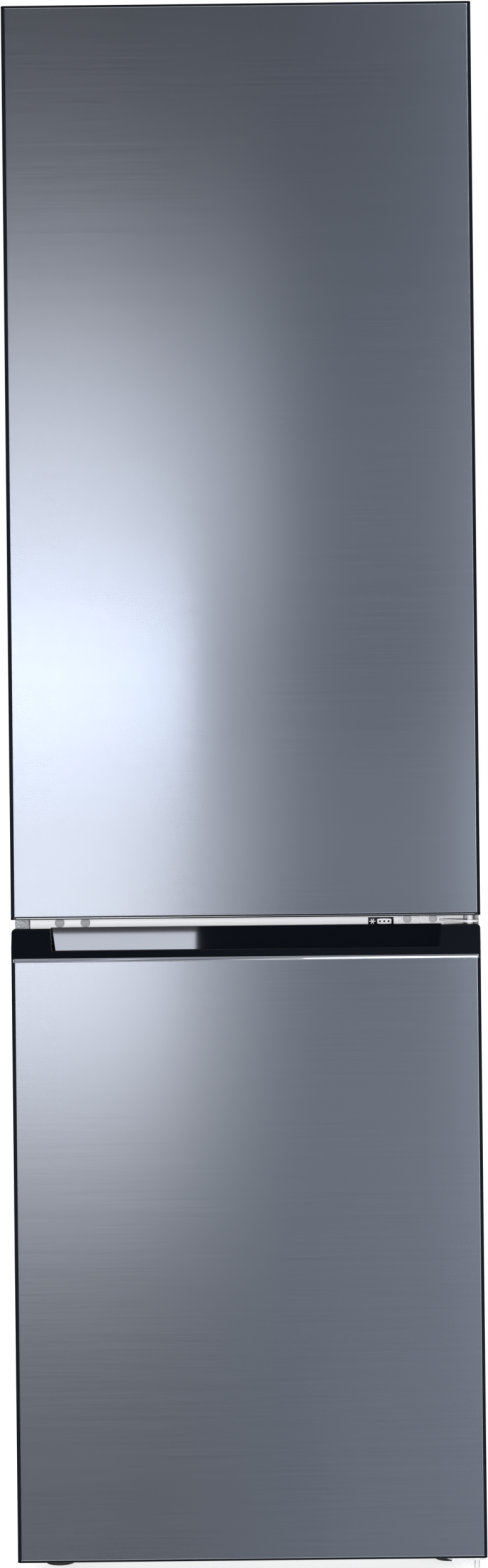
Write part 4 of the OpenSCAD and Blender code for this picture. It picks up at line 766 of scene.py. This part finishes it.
def light_studio():
    """What the doors reflect: a dim room with a tall soft panel on its left, and dark flags."""
    bpy.ops.mesh.primitive_plane_add(size=FLOOR_SIZE)
    floor = bpy.context.object
    floor.name = "floor"
    floor.data.materials.append(floor_material())
    floor.visible_glossy = False
    board("room_board", (-SIDE_EDGE, BOARD_Y - 0.01, LOW_EDGE), (SIDE_EDGE, BOARD_Y, HIGH_EDGE),
          board_material("lit_room", *ROOM_LIGHTS))
    plain = {look: board_material(look, (colour, None, None)) for look, colour in PLAIN_LOOKS.items()}
    for name, look, (left, right), (low, high), step in PLAIN_BOARDS:
        board(name, (left, BOARD_Y + step, low), (right, BOARD_Y + step + THIN, high), plain[look])
    for name, x in SIDE_FLAGS:
        board(name, (x, BOARD_Y + SIDE_FLAG_STEP, LOW_EDGE), (x + SIDE_FLAG_T, SIDE_FLAG_END, HIGH_EDGE),
              plain["dark_flag"])
    data = bpy.data.lights.new("front_light", "SUN")
    data.energy = SUN_LEVEL
    data.angle = SUN_SIZE
    lamp = bpy.data.objects.new("front_light", data)
    lamp.rotation_euler = SUN_TURN
    lamp.visible_glossy = False
    bpy.context.scene.collection.objects.link(lamp)


# the doors' skins: the sheet, the radius of the folds, the curl of the ends, and the width of the returns
SHEET_T = 0.8 * MM
FOLD_R = 6.0 * MM
CURL_R = 0.9 * MM
RETURN_W = 12 * MM


def door_skin(node, name, notch=None):
    """Steel skin of a door: a sheet folded round the sides and back with rounded front folds."""
    lo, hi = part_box(node)
    obj = cube(lo, hi)
    pick_edges(obj, lambda a, b: a.y < lo.y + MM and b.y < lo.y + MM and abs(a.x - b.x) < MM)
    bpy.ops.mesh.bevel(offset=FOLD_R, segments=10)
    leave_edit()

    def on_end(a, b):
        """Edges along the top and bottom of the front and its folds."""
        level = abs(a.z - b.z) < MM and min(abs(a.z - lo.z), abs(a.z - hi.z)) < MM
        return level and min(a.y, b.y) < lo.y + FOLD_R + MM and max(a.y, b.y) < hi.y - MM

    pick_edges(obj, on_end)
    bpy.ops.mesh.bevel(offset=CURL_R, segments=3)
    leave_edit()
    pick_faces(obj, lambda c, n: abs(n.z) > 0.9)
    bpy.ops.mesh.delete(type="FACE")
    leave_edit()
    pick_faces(obj, lambda c, n: n.y > 0.9)
    bpy.ops.mesh.delete(type="ONLY_FACE")
    leave_edit()
    for side in (-1, 1):
        pick_edges(obj, lambda a, b: a.y > hi.y - MM and b.y > hi.y - MM
                   and a.x * side > hi.x - MM and b.x * side > hi.x - MM)
        bpy.ops.mesh.extrude_region_move(TRANSFORM_OT_translate={"value": (-side * RETURN_W, 0, 0)})
        leave_edit()
    modify(obj, "SOLIDIFY", thickness=SHEET_T, offset=-1, use_even_offset=True)
    if notch:
        cut(obj, cube(*notch))
    smooth(obj, 30)
    return finish_piece(obj, name, NODE_BODY[node], "steel_skin", MATERIALS["steel_skin"], node)


# the grip cap: place of its recess's rear wall, that wall's lean, the draft of its top, and its rounding
RECESS_Y = -285 * MM
WALL_LEAN = 3.5 * MM
TOP_DRAFT = 3.3 * MM
CAP_ROUND = 0.9 * MM
ON_FACE = 0.3 * MM


def grip_cap():
    """Black cap of the lower door, the rear wall of its recess and its top with a moulder's draft."""
    node = "freezer_door_grip_cap"
    obj = copy_of(node)
    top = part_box(node)[1]
    wall_foot = min(v.co.z for v in obj.data.vertices if abs(v.co.y - RECESS_Y) < ON_FACE)
    move_points(obj, lambda c: abs(c.y - RECESS_Y) < ON_FACE and c.z < wall_foot + MM, (0, -WALL_LEAN, 0))
    move_points(obj, lambda c: c.z > top.z - ON_FACE and c.y > top.y - ON_FACE, (0, 0, -TOP_DRAFT))
    round_edges(obj, CAP_ROUND, 3)
    smooth(obj)
    return finish_piece(obj, "black_grip_cap", NODE_BODY[node], "cap_black", MATERIALS["cap_black"], node)


# the bright line in the upper door's lip: its height above the lip's edge, its width, how far from the
# door's sides it ends, the groove's depth, how deep the line lies in it, and the roundings of both
LINE_LO = 1.3 * MM
LINE_H = 1.0 * MM
LINE_END = 7 * MM
GROOVE_D = 0.7 * MM
LINE_SUNK = 0.15 * MM
LIP_ROUND = 0.2 * MM
LINE_ROUND = 0.25 * MM


def upper_door_lip():
    """Bottom cap of the upper door with a bright line let into a groove along its lip."""
    node = "fridge_door_bottom_cap"
    slot = NODE_SLOT[node]
    z0 = LIP_LO.z + LINE_LO
    end = DOOR_HI.x - LINE_END
    groove_back = (end, LIP_LO.y + GROOVE_D, z0 + LINE_H)
    obj = copy_of(node)
    cut(obj, cube((-end, LIP_LO.y - MM, z0), groove_back))
    round_edges(obj, LIP_ROUND, 2)
    smooth(obj)
    finish_piece(obj, "upper_door_lip", NODE_BODY[node], slot, MATERIALS[slot], node)
    line = cube((-end, LIP_LO.y + LINE_SUNK, z0), groove_back)
    round_edges(line, LINE_ROUND, 3)
    smooth(line)
    return finish_piece(line, "upper_door_lip_line", NODE_BODY[node], "trim_steel", MATERIALS["trim_steel"])


# sealing strips at the rail's ends, black so that they also paint in the shade of the joints: how far past
# the rail's solid they reach, their play against the shortened rail, how deep they lie behind its front and
# before its back, and their rounding
SEAL_SHADE_REACH = 0.35 * MM
SEAL_SHADE_PLAY = 0.05 * MM
SEAL_SHADE_SUNK = 0.2 * MM
SEAL_SHADE_BACK = 0.1 * MM
SEAL_SHADE_ROUND = 0.15 * MM


def rail_end_seals_and_shade():
    """Black sealing strips in the joints between the rail's ends and the cabinet's flange; their black is
    also painted shade standing in for the joints' shadow.
    """
    strips = []
    for side in (-1, 1):
        ends = sorted((side * (RAIL_HI.x - RAIL_INSET + SEAL_SHADE_PLAY), side * (RAIL_HI.x + SEAL_SHADE_REACH)))
        strip = cube((ends[0], RAIL_LO.y + SEAL_SHADE_SUNK, RAIL_LO.z + MM),
                     (ends[1], RAIL_HI.y - SEAL_SHADE_BACK, RAIL_HI.z - MM))
        modify(strip, "BEVEL", width=SEAL_SHADE_ROUND, segments=2, limit_method="ANGLE")
        strips.append(smooth(strip))
    # painted shade: the strips' black stands in for the shadow in the joints beside the rail
    black = MATERIALS["black_plastic"]
    return finish_piece(join(strips), "rail_end_seals_and_shade", "cabinet", "black_plastic", black)


# freezer label on the rail: the plate's edges, the height of its marks, its star, and its field, whose upper
# and lower edges bow outwards round far centres, with three small stars
PLATE_X = (155.6 * MM, 188.3 * MM)
PLATE_Z = (822.0 * MM, 835.7 * MM)
PLATE_T = 0.3 * MM
PLATE_SUNK = 0.02 * MM
PLATE_ROUND = 0.12 * MM
MARK_Z = 830.4 * MM
INK_T = 0.06 * MM
STAR_X = 161.1 * MM
STAR_R = 3.8 * MM
STAR_ARM = 1.05 * MM
FIELD_X = 176.3 * MM
FIELD_W = 18.1 * MM
FIELD_H = 5.8 * MM
FIELD_BOW = 0.6 * MM
FIELD_ARC_R = 68 * MM
FIELD_CORNER = 0.8 * MM
SMALL_STAR_STEP = 5.57 * MM
SMALL_STAR_R = 1.35 * MM
SMALL_STAR_ARM = 0.9 * MM


def star(x, z, front, radius, arm):
    """Six-armed star of three crossed bars with rounded ends, each a hair thicker than the one before."""
    bars = []
    for turn in (0, 60, 120):
        bpy.ops.mesh.primitive_cube_add(size=1, location=(x, front + INK_T / 2, z),
                                        rotation=(0, math.radians(turn), 0))
        bar = bpy.context.object
        bar.scale = (2 * radius, INK_T * (1 + turn / 1200), arm)
        settle(bar)
        modify(bar, "BEVEL", width=0.3 * arm, segments=3, affect="EDGES", limit_method="ANGLE")
        bars.append(bar)
    return join(bars)


def freezer_label():
    """Black plate on the rail with the usual star signs of a freezer."""
    front = RAIL_LO.y - PLATE_T
    black, white = MATERIALS["cap_black"], MATERIALS["rail_white"]
    plate = cube((PLATE_X[0], front, PLATE_Z[0]), (PLATE_X[1], RAIL_LO.y + PLATE_SUNK, PLATE_Z[1]))
    modify(plate, "BEVEL", width=PLATE_ROUND, segments=2, limit_method="ANGLE")
    smooth(plate)
    finish_piece(plate, "freezer_label_plate", "cabinet", "black_plastic", black)
    big = star(STAR_X, MARK_Z, front - INK_T, STAR_R, STAR_ARM)
    finish_piece(smooth(big), "freezer_label_star", "cabinet", "rail_white", white)
    top = FIELD_H / 2 + FIELD_BOW
    field = cube((FIELD_X - FIELD_W / 2, front - INK_T, MARK_Z - top),
                 (FIELD_X + FIELD_W / 2, front + INK_T, MARK_Z + top))
    for side in (-1, 1):
        bpy.ops.mesh.primitive_cylinder_add(vertices=360, radius=FIELD_ARC_R, depth=2 * MM,
                                            rotation=(math.radians(90), 0, 0),
                                            location=(FIELD_X, front, MARK_Z + side * (top - FIELD_ARC_R)))
        cut(field, bpy.context.object, "INTERSECT")
    pick_edges(field, lambda a, b: abs(a.y - b.y) > INK_T
               and abs(abs(a.x - FIELD_X) - FIELD_W / 2) < SAME_POINT)
    bpy.ops.mesh.bevel(offset=FIELD_CORNER, segments=4)
    leave_edit()
    finish_piece(smooth(field), "freezer_label_field", "cabinet", "rail_white", white)
    for k in (-1, 0, 1):
        x = FIELD_X + k * SMALL_STAR_STEP
        small = star(x, MARK_Z, front - 2 * INK_T, SMALL_STAR_R, SMALL_STAR_ARM)
        name = "freezer_label_small_star_%d" % (k + 2)
        finish_piece(smooth(small), name, "cabinet", "black_plastic", black)


# well in the upper door's top right corner, where the top hinge's pin goes down
HINGE_WELL = ((0.2465, -0.298, 1.9835), (0.31, -0.25, 2.01))


def main():
    bpy.context.scene.view_settings.view_transform = "Standard"
    add_camera()
    light_world()
    light_studio()
    door_skin("fridge_door_skin", "upper_door_steel", HINGE_WELL)
    door_skin("freezer_door_skin", "lower_door_steel")
    grip_cap()
    upper_door_lip()
    freezer_label()
    rail_end_seals_and_shade()
    for node, width in ROUNDING.items():
        dress(node, width)


main()
